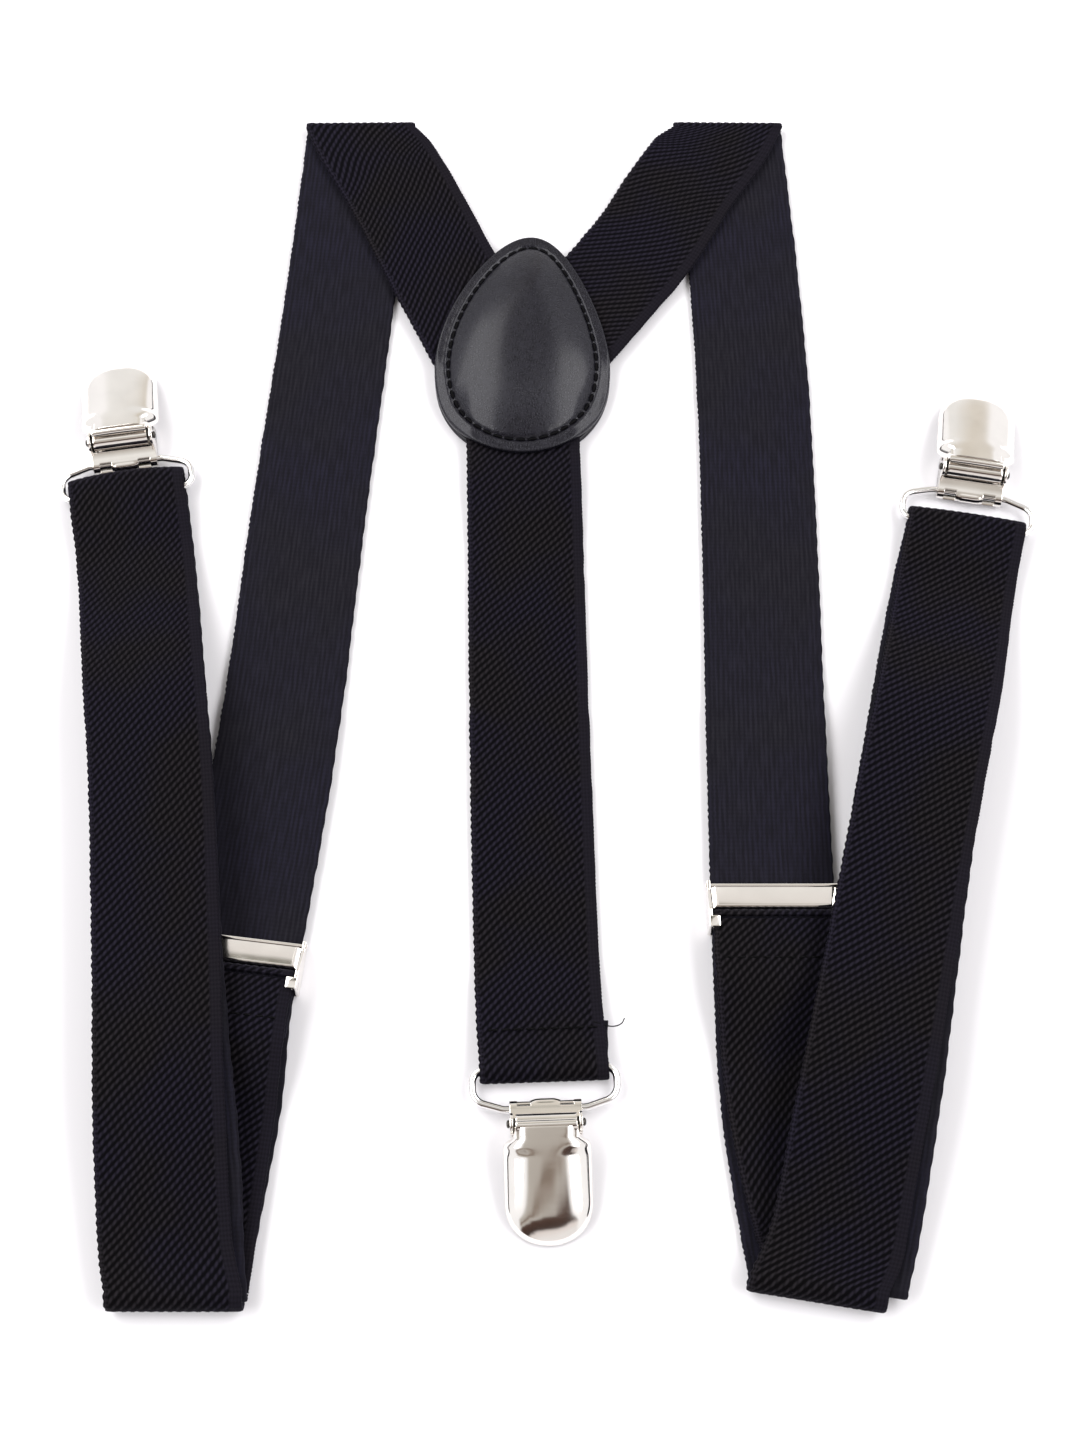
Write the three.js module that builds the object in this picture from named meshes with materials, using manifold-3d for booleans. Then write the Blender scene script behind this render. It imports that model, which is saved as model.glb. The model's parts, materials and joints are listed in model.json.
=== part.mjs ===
// Elastic Y-back suspenders, laid flat on a table and folded as they come out of a drawer.
// One back strap and two side straps are sewn into a leather patch between the shoulders.
// Each side strap folds over at the shoulder, runs down through a sliding adjuster, folds up
// again, passes round the wire loop of its clip and comes back to the adjuster's crossbar.
// Units are millimetres: X to the wearer's right as laid, Y towards the shoulder folds, Z up.
import * as THREE from 'three';
import Module from 'manifold-3d';
import { mergeVertices } from 'three/addons/utils/BufferGeometryUtils.js';

const wasm = await Module();
wasm.setup();

// ---- Driving dimensions -------------------------------------------------------------------
const GAP = 0.3; // clearance between pieces that touch
const TABLE_CENTRE = [1.213, 15.314]; // middle of the whole layout, which becomes the origin
const WEBBING = {
  width: 24.5,
  thickness: 1.3,
  foldWidth: 25.3, // along a fold that the webbing meets at a slant
  step: 7, // between sections of a run
};
const LAYER = WEBBING.thickness + GAP; // from one layer of webbing to the next
const REST = WEBBING.thickness / 2; // mid height of a layer lying on the table
const WIRE = { radius: 0.75, sides: 8 };
const CLIP_TURN = WIRE.radius + GAP + REST; // centre radius of webbing bent round a wire
const WIRE_HEIGHT = REST + CLIP_TURN;

const PATCH = {
  centre: [-3.85, 87.6],
  halfWidth: 18.5,
  halfHeight: 27.3,
  egg: 0.29, // how much narrower the upper end is
  lean: 1.8, // how far the upper end leans to the right
  backThickness: 1.3,
  border: 3.5,
  edge: 1.0,
  crown: 3.3,
  pillowRise: 1.2, // how far inside the border the padding starts
  pillowStep: 3.4,
};
const UNDER_PATCH = PATCH.backThickness + GAP + REST; // mid height of strap ends in the patch
const PATCH_FRONT = UNDER_PATCH + REST + GAP; // underside of the front leather

const ADJUSTER = {
  plate: 0.6, // sheet thickness of frame
  inside: 12.55, // half of the clear width between side walls
  top: 0.9,
  bottom: -9.4,
  lift: 0.9, // underside of the webbing above the front plate
  pivotHeight: 3.1,
  pivotRadius: 0.5,
  lever: { halfWidth: 12.2, length: 4.7, thickness: 0.8, teeth: 11 },
  bar: { y: -8.3, halfLength: 0.95, halfThickness: 0.4 },
  hemTurn: 1.35,
  hemLength: 11,
  wallHeight: 7.4,
  lug: { length: 1.75, from: -9.4, to: -7.2 },
};
const HEM_LOW = ADJUSTER.lift + WEBBING.thickness + GAP + REST; // mid height of the hem's end
const HEM_HIGH = HEM_LOW + 2 * ADJUSTER.hemTurn;
const FOLD_LINE = -5.3 - ADJUSTER.hemTurn - REST; // where the hem starts to turn
const ARCH = 8.2; // underside of the clip runs where they pass over an adjuster

const CLIP = {
  sheet: 0.6,
  frontBar: [7.5, 1.95], // y and z of the wire's front bar
  pin: [11.0, 6.2],
  pinRadius: 0.6,
  pinHalfLength: 7.5,
  earInner: 6.2,
  earRadius: 2.1,
  jawHalfWidth: 6.3,
  jawEnd: 31.0,
  coverLength: 21.9,
  coverSlope: 15.2, // degrees, nose down
  neckHalfWidth: 5.8,
  coverHalfWidth: 7.75,
  neckLength: 4.2,
  neckStart: 2.4, // where the neck starts to widen
  noseRounding: 7.6,
  noseDrop: 4.5,
  crownAtHinge: 3.1,
  crownAtNose: 1.9,
  coverWall: 0.65,
  camRadius: 1.9,
  slot: { centre: 4.15, halfWidth: 1.3, from: 4.9, to: 7.2 },
  insert: { from: 24.2, to: 29.4, halfWidth: 3.6, floor: 0.6, teeth: 5, tooth: 0.35 },
};
const FLOOR_TOP = CLIP.frontBar[1] - WIRE.radius - GAP; // top of the clip's lower jaw

const BACK_STRAP = {
  line: [[-4.2, 82.6], [-3.4, 55], [-2.0, -6.7], [-0.2, -60], [0.8, -72.4]],
  wire: [0.8, -72.4],
  turn: 182, // degrees about Z that bring a clip's own +Y to its forward direction
  hemEnd: 9,
};
const SIDES = {
  left: {
    shoulder: [[-11.2, 86], [-20.4, 104.7], [-31.7, 128.6], [-41.5, 146.4]],
    front: [[-41.5, 146.4], [-44.7, 100.7], [-49.3, 48.1], [-53.6, -6.6], [-58.6, -47.1],
      [-60.2, -60], [-61.5, -80], [-66.6, -114]],
    returnRun: [[-60.8, -65.4], [-62.6, -84], [-65.7, -114]],
    clipUpper: [[-66.6, -114], [-68.3, -106.9], [-73.2, -51.7], [-77.7, -9], [-82.3, 19.4],
      [-87.9, 51.2]],
    clipLower: [[-65.7, -114], [-66.6, -106], [-67.6, -92], [-72.8, -53.9], [-77.6, -11],
      [-81.9, 17], [-87.9, 51.2]],
    topCross: 0.5,
    bottomCross: 0,
    wire: [-87.9, 51.2],
    slack: 1.9, // how far the webbing's turn stands off the wire
    turn: 8.5,
    adjuster: [-58.6, -47.1],
    adjusterTurn: -7,
    arch: [-114, -68, -5, 42],
  },
  right: {
    shoulder: [[4.0, 88.6], [12.4, 99.4], [23.8, 114.8], [32.1, 129.3], [43.5, 146.4]],
    front: [[43.5, 146.4], [45.6, 108], [46.6, 77.6], [46.5, 30], [46, -6.6], [46, -60],
      [46.7, -80], [50.8, -112.4]],
    returnRun: [[46.2, -54.8], [47.4, -76], [50.5, -95], [55, -111.7]],
    clipUpper: [[50.8, -112.4], [53.6, -107], [59.1, -84], [67.2, -50], [76, -13.4],
      [83.4, 14.3], [90.3, 43.5]],
    clipLower: [[55, -111.7], [57, -105.1], [62.7, -78.3], [69.4, -43.7], [77.4, -6.7],
      [84.2, 21.2], [90.3, 43.5]],
    topCross: -0.5,
    bottomCross: -9,
    wire: [90.3, 43.5],
    slack: 0,
    turn: -9.6,
    adjuster: [46, -36.3],
    adjusterTurn: 0,
    arch: [-112, -68, -8, 34],
  },
};

// ---- Materials ----------------------------------------------------------------------------
const material = (color, roughness, metalness) => () =>
  new THREE.MeshStandardMaterial({ color, roughness, metalness });
const webbingCloth = material(0x15151d, 0.85, 0);
const leather = material(0x17171a, 0.4, 0);
const thread = material(0x0b0b0d, 0.7, 0);
const nickel = material(0xd8d3ca, 0.22, 1);
const steelWire = material(0xcfcdc9, 0.25, 1);
const jawPlastic = material(0xe8e4da, 0.5, 0);

// ---- Small tools --------------------------------------------------------------------------
const radians = THREE.MathUtils.degToRad;
const vec = (x, y, z) => new THREE.Vector3(x, y, z);
const smooth = (from, to, value) => THREE.MathUtils.smoothstep(value, from, to);
const group = new THREE.Group();

function add(name, geometry, makeMaterial, parent = group) {
  const mesh = new THREE.Mesh(geometry, makeMaterial());
  mesh.name = name;
  parent.add(mesh);
  return mesh;
}

// A number with the sign of the enclosed volume: positive when the faces point outwards.
function signedVolume(points, faces) {
  let sum = 0;
  for (const [a, b, c] of faces) {
    sum += points[a].dot(points[b].clone().cross(points[c]));
  }
  return sum;
}

function closedGeometry(points, faces) {
  const outward = signedVolume(points, faces) > 0;
  const index = faces.flatMap(([a, b, c]) => (outward ? [a, b, c] : [a, c, b]));
  const geometry = new THREE.BufferGeometry();
  geometry.setAttribute('position',
    new THREE.Float32BufferAttribute(points.flatMap((p) => [p.x, p.y, p.z]), 3));
  geometry.setIndex(index);
  geometry.computeVertexNormals();
  return geometry;
}

// A skin over a row of sections with the same number of points, capped or joined end to end.
function loft(sections, endless = false) {
  const size = sections[0].length;
  const count = sections.length;
  const faces = [];
  for (let i = 0; i < (endless ? count : count - 1); i += 1) {
    for (let j = 0; j < size; j += 1) {
      const a = i * size + j;
      const b = i * size + ((j + 1) % size);
      const c = ((i + 1) % count) * size + ((j + 1) % size);
      const d = ((i + 1) % count) * size + j;
      faces.push([a, b, c], [a, c, d]);
    }
  }
  if (!endless) {
    for (let j = 1; j < size - 1; j += 1) {
      faces.push([0, j + 1, j]);
      const last = (count - 1) * size;
      faces.push([last, last + j, last + j + 1]);
    }
  }
  return closedGeometry(sections.flat(), faces);
}

function toSolid(geometry) {
  const bare = geometry.clone();
  bare.deleteAttribute('normal');
  bare.deleteAttribute('uv');
  const merged = mergeVertices(bare, 1e-5);
  return new wasm.Manifold(new wasm.Mesh({
    numProp: 3,
    vertProperties: merged.attributes.position.array,
    triVerts: new Uint32Array(merged.index.array),
  }));
}

function fromSolid(solid) {
  const mesh = solid.getMesh();
  const geometry = new THREE.BufferGeometry();
  geometry.setAttribute('position', new THREE.BufferAttribute(mesh.vertProperties, 3));
  geometry.setIndex(new THREE.BufferAttribute(mesh.triVerts, 1));
  geometry.computeVertexNormals();
  return geometry;
}

function box(from, to) {
  const size = to.map((value, axis) => value - from[axis]);
  const geometry = new THREE.BoxGeometry(...size);
  return geometry.translate(...from.map((value, axis) => value + size[axis] / 2));
}

// A rod along X, centred on x = 0.
function rod(radius, halfLength, y, z, sides = 12) {
  const geometry = new THREE.CylinderGeometry(radius, radius, 2 * halfLength, sides);
  return geometry.rotateZ(Math.PI / 2).translate(0, y, z);
}

// A flat outline in the Y-Z plane, made solid between two values of x.
function sideCut(shape, fromX, toX) {
  const geometry = new THREE.ExtrudeGeometry(shape,
    { depth: toX - fromX, bevelEnabled: false, curveSegments: 8 });
  const turn = new THREE.Matrix4().makeBasis(vec(0, 1, 0), vec(0, 0, 1), vec(1, 0, 0));
  return geometry.applyMatrix4(turn).translate(fromX, 0, 0);
}

// The outline of a bent sheet of the given thickness, centred on a row of [y, z] points.
function sheetShape(points, thickness) {
  const sides = [[], []];
  points.forEach((point, i) => {
    const before = points[Math.max(i - 1, 0)];
    const after = points[Math.min(i + 1, points.length - 1)];
    const along = new THREE.Vector2(after[0] - before[0], after[1] - before[1]).normalize();
    const half = thickness / 2;
    sides[0].push(new THREE.Vector2(point[0] - along.y * half, point[1] + along.x * half));
    sides[1].unshift(new THREE.Vector2(point[0] + along.y * half, point[1] - along.x * half));
  });
  return new THREE.Shape(sides.flat());
}

// Points on an arc in the Y-Z plane, from one angle to another in degrees.
function arcPoints(centre, radius, fromDegrees, toDegrees, steps) {
  return Array.from({ length: steps + 1 }, (_, i) => {
    const angle = radians(fromDegrees + ((toDegrees - fromDegrees) * i) / steps);
    return [centre[0] + radius * Math.cos(angle), centre[1] + radius * Math.sin(angle)];
  });
}

// ---- Webbing ------------------------------------------------------------------------------
function webbingSection(centre, across, normal, halfWidth) {
  const side = across.clone().multiplyScalar(halfWidth);
  const up = normal.clone().multiplyScalar(WEBBING.thickness / 2);
  return [
    centre.clone().sub(side).sub(up),
    centre.clone().add(side).sub(up),
    centre.clone().add(side).add(up),
    centre.clone().sub(side).add(up),
  ];
}

// A flat run along a plan line. height gives the mid height at each y. A cross angle is the
// plan angle of the webbing's edge-to-edge line at a fold, which it leaves over a short way.
function run(line, height, crossStart = null, crossEnd = null) {
  const settle = 16;
  const path = new THREE.CatmullRomCurve3(line.map(([x, y]) => vec(x, y, 0)));
  const length = path.getLength();
  const steps = Math.round(length / WEBBING.step);
  const centres = [];
  for (let i = 0; i <= steps; i += 1) {
    const along = GAP + ((length - 2 * GAP) * i) / steps;
    const point = path.getPointAt(along / length);
    point.z = height(point.y);
    centres.push({ point, along, heading: path.getTangentAt(along / length) });
  }
  const sections = centres.map(({ point, along, heading }, i) => {
    const square = vec(-heading.y, heading.x, 0);
    let skew = 0;
    for (const [cross, distance] of [[crossStart, along], [crossEnd, length - along]]) {
      if (cross !== null) {
        const target = vec(Math.cos(radians(cross)), Math.sin(radians(cross)), 0);
        let angle = Math.atan2(target.y, target.x) - Math.atan2(square.y, square.x);
        angle = Math.atan(Math.tan(angle));
        skew += angle * (1 - smooth(0, settle, distance));
      }
    }
    const across = square.clone().applyAxisAngle(vec(0, 0, 1), skew);
    const before = centres[Math.max(i - 1, 0)].point;
    const after = centres[Math.min(i + 1, centres.length - 1)].point;
    const slope = after.clone().sub(before).normalize();
    const normal = slope.clone().cross(square).normalize();
    if (normal.z < 0) normal.negate();
    const width = Math.min(WEBBING.width / Math.cos(skew), WEBBING.foldWidth);
    return webbingSection(point, across, normal, width / 2);
  });
  return loft(sections);
}

// Webbing turned back on itself round an axis. outward is 1 for a fold that faces +Y and -1
// for one that faces -Y.
function turn({
  at, cross, outward, low, radius, width = WEBBING.width, slack = 0, lowTail = 0, highTail = 0,
}) {
  const across = vec(Math.cos(radians(cross)), Math.sin(radians(cross)), 0);
  const out = vec(-across.y, across.x, 0).multiplyScalar(outward);
  const axis = vec(at[0], at[1], low + radius);
  const up = vec(0, 0, 1);
  const half = width / 2;
  const place = (forward, rise, normal) =>
    webbingSection(axis.clone().addScaledVector(out, forward).addScaledVector(up, rise),
      across, normal, half);
  const sections = [];
  if (lowTail > 0) sections.push(place(-lowTail, -radius, up.clone().negate()));
  const steps = 10;
  for (let i = 0; i <= steps; i += 1) {
    const angle = radians(-90 + (180 * i) / steps);
    const normal = out.clone().multiplyScalar(Math.cos(angle)).addScaledVector(up, Math.sin(angle));
    if (i === 0 && slack > 0) sections.push(place(0, -radius, normal));
    sections.push(place(slack + radius * Math.cos(angle), radius * Math.sin(angle), normal));
    if (i === steps && slack > 0) sections.push(place(0, radius, normal));
  }
  if (highTail > 0) sections.push(place(-highTail, radius, up.clone()));
  return loft(sections);
}

// ---- Leather patch ------------------------------------------------------------------------
function patchRing(inset, z, points = 40) {
  return Array.from({ length: points }, (_, i) => {
    const angle = (2 * Math.PI * i) / points;
    const rise = Math.sin(angle);
    const half = (PATCH.halfWidth - inset) * Math.cos(angle) * (1 - PATCH.egg * rise);
    const x = half + PATCH.lean * Math.max(rise, 0) ** 2;
    const y = (PATCH.halfHeight - inset) * rise;
    return vec(PATCH.centre[0] + x, PATCH.centre[1] + y, z);
  });
}

function leatherPatch() {
  add('patch_back', loft([patchRing(0, 0), patchRing(0, PATCH.backThickness)]), leather);
  const rim = PATCH_FRONT + PATCH.edge;
  const pillow = [0.5, 0.8, 0.95, 1].map((share, i) =>
    patchRing(PATCH.border + PATCH.pillowRise + i * PATCH.pillowStep,
      rim + share * (PATCH.crown - PATCH.edge)));
  add('patch_front', loft([
    patchRing(0, PATCH_FRONT),
    patchRing(0, rim - GAP),
    patchRing(0.4, rim),
    patchRing(PATCH.border, rim),
    ...pillow,
  ]), leather);
  const seam = patchRing(PATCH.border - 0.6, rim + GAP + 0.25, 48);
  add('patch_stitching', ringTube(seam, 0.25), thread);
}

// A closed loop of round cord through a ring of points.
function ringTube(points, radius, sides = 6) {
  const sections = points.map((point, i) => {
    const before = points[(i + points.length - 1) % points.length];
    const after = points[(i + 1) % points.length];
    return roundSection(point, after.clone().sub(before).normalize(), radius, sides);
  });
  return loft(sections, true);
}

function roundSection(centre, along, radius, sides) {
  const side = vec(0, 0, 1).cross(along).normalize();
  const up = along.clone().cross(side);
  return Array.from({ length: sides }, (_, j) => {
    const angle = (2 * Math.PI * j) / sides;
    return centre.clone()
      .addScaledVector(side, radius * Math.cos(angle))
      .addScaledVector(up, radius * Math.sin(angle));
  });
}

// ---- Clip: wire loop, base with ears, cover, pin and jaw insert ---------------------------
// Clip frame: origin on the table under the wire's rear bar, +Y forward to the nose.
function wireLoop() {
  const [frontY, frontZ] = CLIP.frontBar;
  const half = [
    [12.4, 0], [13.3, 0.7], [13.65, 2.0], [13.7, 3.6], [13.2, 5.2], [12.0, 6.3],
    [10.2, 6.9], [8.6, 7.3], [7.3, frontY],
  ];
  const mirrored = half.map(([x, y]) => [-x, y]).reverse();
  const ring = [[0, 0], ...half, [0, frontY], ...mirrored].map(([x, y]) =>
    vec(x, y, WIRE_HEIGHT + ((frontZ - WIRE_HEIGHT) * y) / frontY));
  return ringTube(ring, WIRE.radius, WIRE.sides);
}

function clipBase() {
  const [barY, barZ] = CLIP.frontBar;
  const [pinY, pinZ] = CLIP.pin;
  const turnRadius = WIRE.radius + GAP + CLIP.sheet / 2;
  const floorMid = barZ - turnRadius;
  const bandLean = 128; // degrees round the curl where the band leaves it
  const leave = arcPoints([barY, barZ], turnRadius, 270, bandLean - 20, 10);
  const [lastY, lastZ] = leave[leave.length - 1];
  const bandSlope = radians(bandLean - 20 - 90);
  const bandTop = [lastY + 2.4 * Math.cos(bandSlope), lastZ + 2.4 * Math.sin(bandSlope) + 0.5];
  const sheet = sheetShape([[CLIP.jawEnd, floorMid], ...leave, bandTop], CLIP.sheet);
  const earOuter = CLIP.earInner + CLIP.sheet;
  let solid = toSolid(sideCut(sheet, -earOuter, earOuter));

  const plan = new THREE.Shape();
  plan.moveTo(-earOuter, 5);
  plan.lineTo(earOuter, 5);
  plan.lineTo(earOuter, 15.6);
  plan.lineTo(CLIP.jawHalfWidth, 16.4);
  plan.lineTo(CLIP.jawHalfWidth, CLIP.jawEnd - 6);
  plan.absellipse(0, CLIP.jawEnd - 6, CLIP.jawHalfWidth, 6, 0, Math.PI, false, 0);
  plan.lineTo(-CLIP.jawHalfWidth, 16.4);
  plan.lineTo(-earOuter, 15.6);
  const outline = new THREE.ExtrudeGeometry(plan,
    { depth: 12, bevelEnabled: false, curveSegments: 8 });
  solid = solid.intersect(toSolid(outline));

  const ear = new THREE.Shape();
  ear.moveTo(pinY - 2.3, FLOOR_TOP - CLIP.sheet);
  ear.lineTo(pinY + 4.6, FLOOR_TOP - CLIP.sheet);
  ear.lineTo(pinY + 4.6, FLOOR_TOP + 0.9);
  ear.lineTo(pinY + CLIP.earRadius, pinZ - 1.6);
  ear.absarc(pinY, pinZ, CLIP.earRadius, radians(-20), radians(190), false);
  for (const side of [-1, 1]) {
    const inner = side < 0 ? -earOuter : CLIP.earInner;
    solid = solid.add(toSolid(sideCut(ear, inner, inner + CLIP.sheet)));
    const { centre, halfWidth, from, to } = CLIP.slot;
    const slot = box([side * centre - halfWidth, from, FLOOR_TOP],
      [side * centre + halfWidth, to, FLOOR_TOP + 3.3]);
    solid = solid.subtract(toSolid(slot));
  }
  return fromSolid(solid.subtract(toSolid(rod(CLIP.pinRadius + GAP, 9, pinY, pinZ, 16))));
}

// The cover is made with its hinge at the origin and its rim in the plane z = 0.
function coverBody(inset) {
  const nose = CLIP.coverLength - inset;
  const stations = [-inset, 1.2, CLIP.neckStart, 3, 3.6, CLIP.neckLength, 8, 13, 16, 18, 19.6,
    20.8, 21.5, CLIP.coverLength];
  const sections = [];
  for (const station of stations) {
    const y = station * (nose / CLIP.coverLength);
    const widen = smooth(CLIP.neckStart, CLIP.neckLength, y);
    const full = THREE.MathUtils.lerp(CLIP.neckHalfWidth, CLIP.coverHalfWidth, widen) - inset;
    const rounding = Math.max(0, (y - nose) / CLIP.noseRounding + 1);
    const half = Math.max(full * Math.sqrt(Math.max(1 - rounding ** 2.3, 0)), 0.6);
    const crown = THREE.MathUtils.lerp(CLIP.crownAtHinge, CLIP.crownAtNose, y / nose) - inset;
    const fall = Math.max(0, (y - nose) / CLIP.noseDrop + 1);
    const drop = Math.sqrt(Math.max(1 - fall ** 2.4, 0.03));
    const height = crown * drop;
    const section = [];
    for (let k = 0; k <= 10; k += 1) {
      const angle = Math.PI * (k / 10);
      const x = Math.cos(angle);
      const z = Math.sin(angle) ** 0.75;
      section.push(vec(half * Math.sign(x) * Math.abs(x) ** 0.8, y, height * z));
    }
    section[0].z = 0;
    section[10].z = 0;
    if (inset > 0) {
      section.push(vec(-half, y, -1), vec(half, y, -1));
    }
    sections.push(section);
  }
  return loft(sections);
}

function clipCover() {
  const shell = toSolid(coverBody(0)).subtract(toSolid(coverBody(CLIP.coverWall)));
  const t = CLIP.sheet / 2;
  const roll = sheetShape([
    [1.6, CLIP.crownAtHinge - 0.45],
    [0.1, CLIP.crownAtHinge - t - 0.1],
    [-0.9, CLIP.crownAtHinge - 0.75],
    [-1.5, CLIP.crownAtHinge - 1.5],
    ...arcPoints([0, 0], CLIP.camRadius - t, 160, 330, 9),
  ], CLIP.sheet);
  const cam = toSolid(sideCut(roll, -CLIP.neckHalfWidth, CLIP.neckHalfWidth));
  const pinHole = toSolid(rod(CLIP.pinRadius + GAP, 9, 0, 0, 16));
  return fromSolid(shell.add(cam).subtract(pinHole));
}

function jawInsert() {
  const { from, to, halfWidth, floor, teeth, tooth } = CLIP.insert;
  const bottom = FLOOR_TOP + GAP;
  const pitch = (to - from) / teeth;
  const shape = new THREE.Shape();
  shape.moveTo(from, bottom);
  shape.lineTo(to, bottom);
  shape.lineTo(to, bottom + floor);
  for (let i = 0; i < teeth; i += 1) {
    const y = to - i * pitch;
    shape.lineTo(y - pitch / 2, bottom + floor + tooth);
    shape.lineTo(y - pitch, bottom + floor);
  }
  return sideCut(shape, -halfWidth, halfWidth);
}

function clip(name, at, turnDegrees) {
  const place = new THREE.Group();
  place.position.set(at[0], at[1], 0);
  place.rotation.z = radians(turnDegrees);
  group.add(place);
  add(`${name}_wire_loop`, wireLoop(), steelWire, place);
  add(`${name}_clip_base`, clipBase(), nickel, place);
  add(`${name}_clip_pin`, rod(CLIP.pinRadius, CLIP.pinHalfLength, ...CLIP.pin), steelWire, place);
  add(`${name}_jaw_insert`, jawInsert(), jawPlastic, place);
  const cover = add(`${name}_clip_cover`, clipCover(), nickel, place);
  cover.position.set(0, ...CLIP.pin);
  cover.rotation.x = -radians(CLIP.coverSlope);
}

// ---- Adjuster: frame, crossbar and toothed lever ------------------------------------------
// Adjuster frame: origin on the table under the lever's pivot, +Y up the webbing.
function adjusterFrame() {
  const { plate, inside, top, bottom, lug, wallHeight, pivotHeight } = ADJUSTER;
  const outer = inside + plate;
  let solid = toSolid(box([-outer, bottom, 0], [outer, top, plate]));
  const wall = new THREE.Shape();
  wall.moveTo(top, 0);
  wall.lineTo(top, pivotHeight + 0.9);
  wall.lineTo(-1.2, pivotHeight + 1.0);
  wall.lineTo(-5.6, wallHeight - 0.2);
  wall.lineTo(lug.to, wallHeight);
  wall.lineTo(lug.from, wallHeight);
  wall.lineTo(bottom, 0);
  for (const side of [-1, 1]) {
    const inner = side < 0 ? -outer : inside;
    solid = solid.add(toSolid(sideCut(wall, inner, inner + plate)));
    const lugFrom = side < 0 ? -outer : inside - lug.length;
    const lugBox = box([lugFrom, lug.from, wallHeight - plate],
      [lugFrom + lug.length + plate, lug.to, wallHeight]);
    solid = solid.add(toSolid(lugBox));
  }
  const pivot = rod(ADJUSTER.pivotRadius + GAP, 20, 0, pivotHeight, 12);
  const barHole = box([-20, ADJUSTER.bar.y - ADJUSTER.bar.halfLength - GAP, barMid() - 0.7],
    [20, ADJUSTER.bar.y + ADJUSTER.bar.halfLength + GAP, barMid() + 0.7]);
  return fromSolid(solid.subtract(toSolid(pivot)).subtract(toSolid(barHole)));
}

function barMid() {
  return HEM_LOW + ADJUSTER.hemTurn;
}

function adjusterCrossbar() {
  const { y, halfLength, halfThickness } = ADJUSTER.bar;
  const reach = ADJUSTER.inside + ADJUSTER.plate;
  return box([-reach, y - halfLength, barMid() - halfThickness],
    [reach, y + halfLength, barMid() + halfThickness]);
}

function adjusterLever() {
  const { halfWidth, length, thickness, teeth } = ADJUSTER.lever;
  const mid = ADJUSTER.pivotHeight;
  const half = thickness / 2;
  const shape = new THREE.Shape();
  shape.moveTo(0.5, mid - half);
  shape.lineTo(0.5, mid + half - 0.25);
  shape.lineTo(0.15, mid + half);
  shape.lineTo(-length + 0.35, mid + half);
  shape.lineTo(-length, mid + half - 0.25);
  shape.lineTo(-length, mid - half);
  let solid = toSolid(sideCut(shape, -halfWidth, halfWidth));
  const reach = ADJUSTER.inside + ADJUSTER.plate + 0.3;
  solid = solid.add(toSolid(rod(ADJUSTER.pivotRadius, reach, 0, mid, 12)));
  const pitch = (2 * halfWidth) / teeth;
  for (let i = 0; i < teeth; i += 1) {
    const x = -halfWidth + pitch * (i + 0.5);
    solid = solid.add(toSolid(box([x - 0.45, -0.35, mid - 0.62], [x + 0.45, 0.3, mid])));
  }
  return fromSolid(solid);
}

function adjuster(name, at, turnDegrees) {
  const place = new THREE.Group();
  place.position.set(at[0], at[1], 0);
  place.rotation.z = radians(turnDegrees);
  group.add(place);
  add(`${name}_adjuster_frame`, adjusterFrame(), nickel, place);
  add(`${name}_adjuster_crossbar`, adjusterCrossbar(), steelWire, place);
  add(`${name}_adjuster_lever`, adjusterLever(), nickel, place);
  add(`${name}_return_hem`, turn({
    at: [0, FOLD_LINE],
    cross: 0,
    outward: 1,
    low: HEM_LOW,
    radius: ADJUSTER.hemTurn,
    lowTail: ADJUSTER.hemLength - GAP,
    highTail: ADJUSTER.hemLength - GAP,
  }), webbingCloth, place);
  const seam = rod(0.25, WEBBING.width / 2 - 2, FOLD_LINE - 8, HEM_HIGH + REST + GAP + 0.25, 6);
  add(`${name}_return_stitching`, seam, thread, place);
}

// ---- Straps -------------------------------------------------------------------------------
// Height of the front run's middle: raised off the table where the adjuster slides under it.
function frontHeight(side) {
  const low = side.adjuster[1] - 18;
  return (y) => REST + ADJUSTER.lift * smooth(low - 14, low, y) * (1 - smooth(-6, 12, y));
}

// The space beyond the patch's middle line, where a side's strap would meet the other side's.
function otherHalf(name) {
  const reach = 60;
  const middle = PATCH.centre[0];
  const [from, to] = name === 'left' ? [middle - GAP / 2, reach] : [-reach, middle + GAP / 2];
  return toSolid(box([from, 0, -1], [to, 2 * PATCH.centre[1], PATCH_FRONT + 1]));
}

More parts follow.
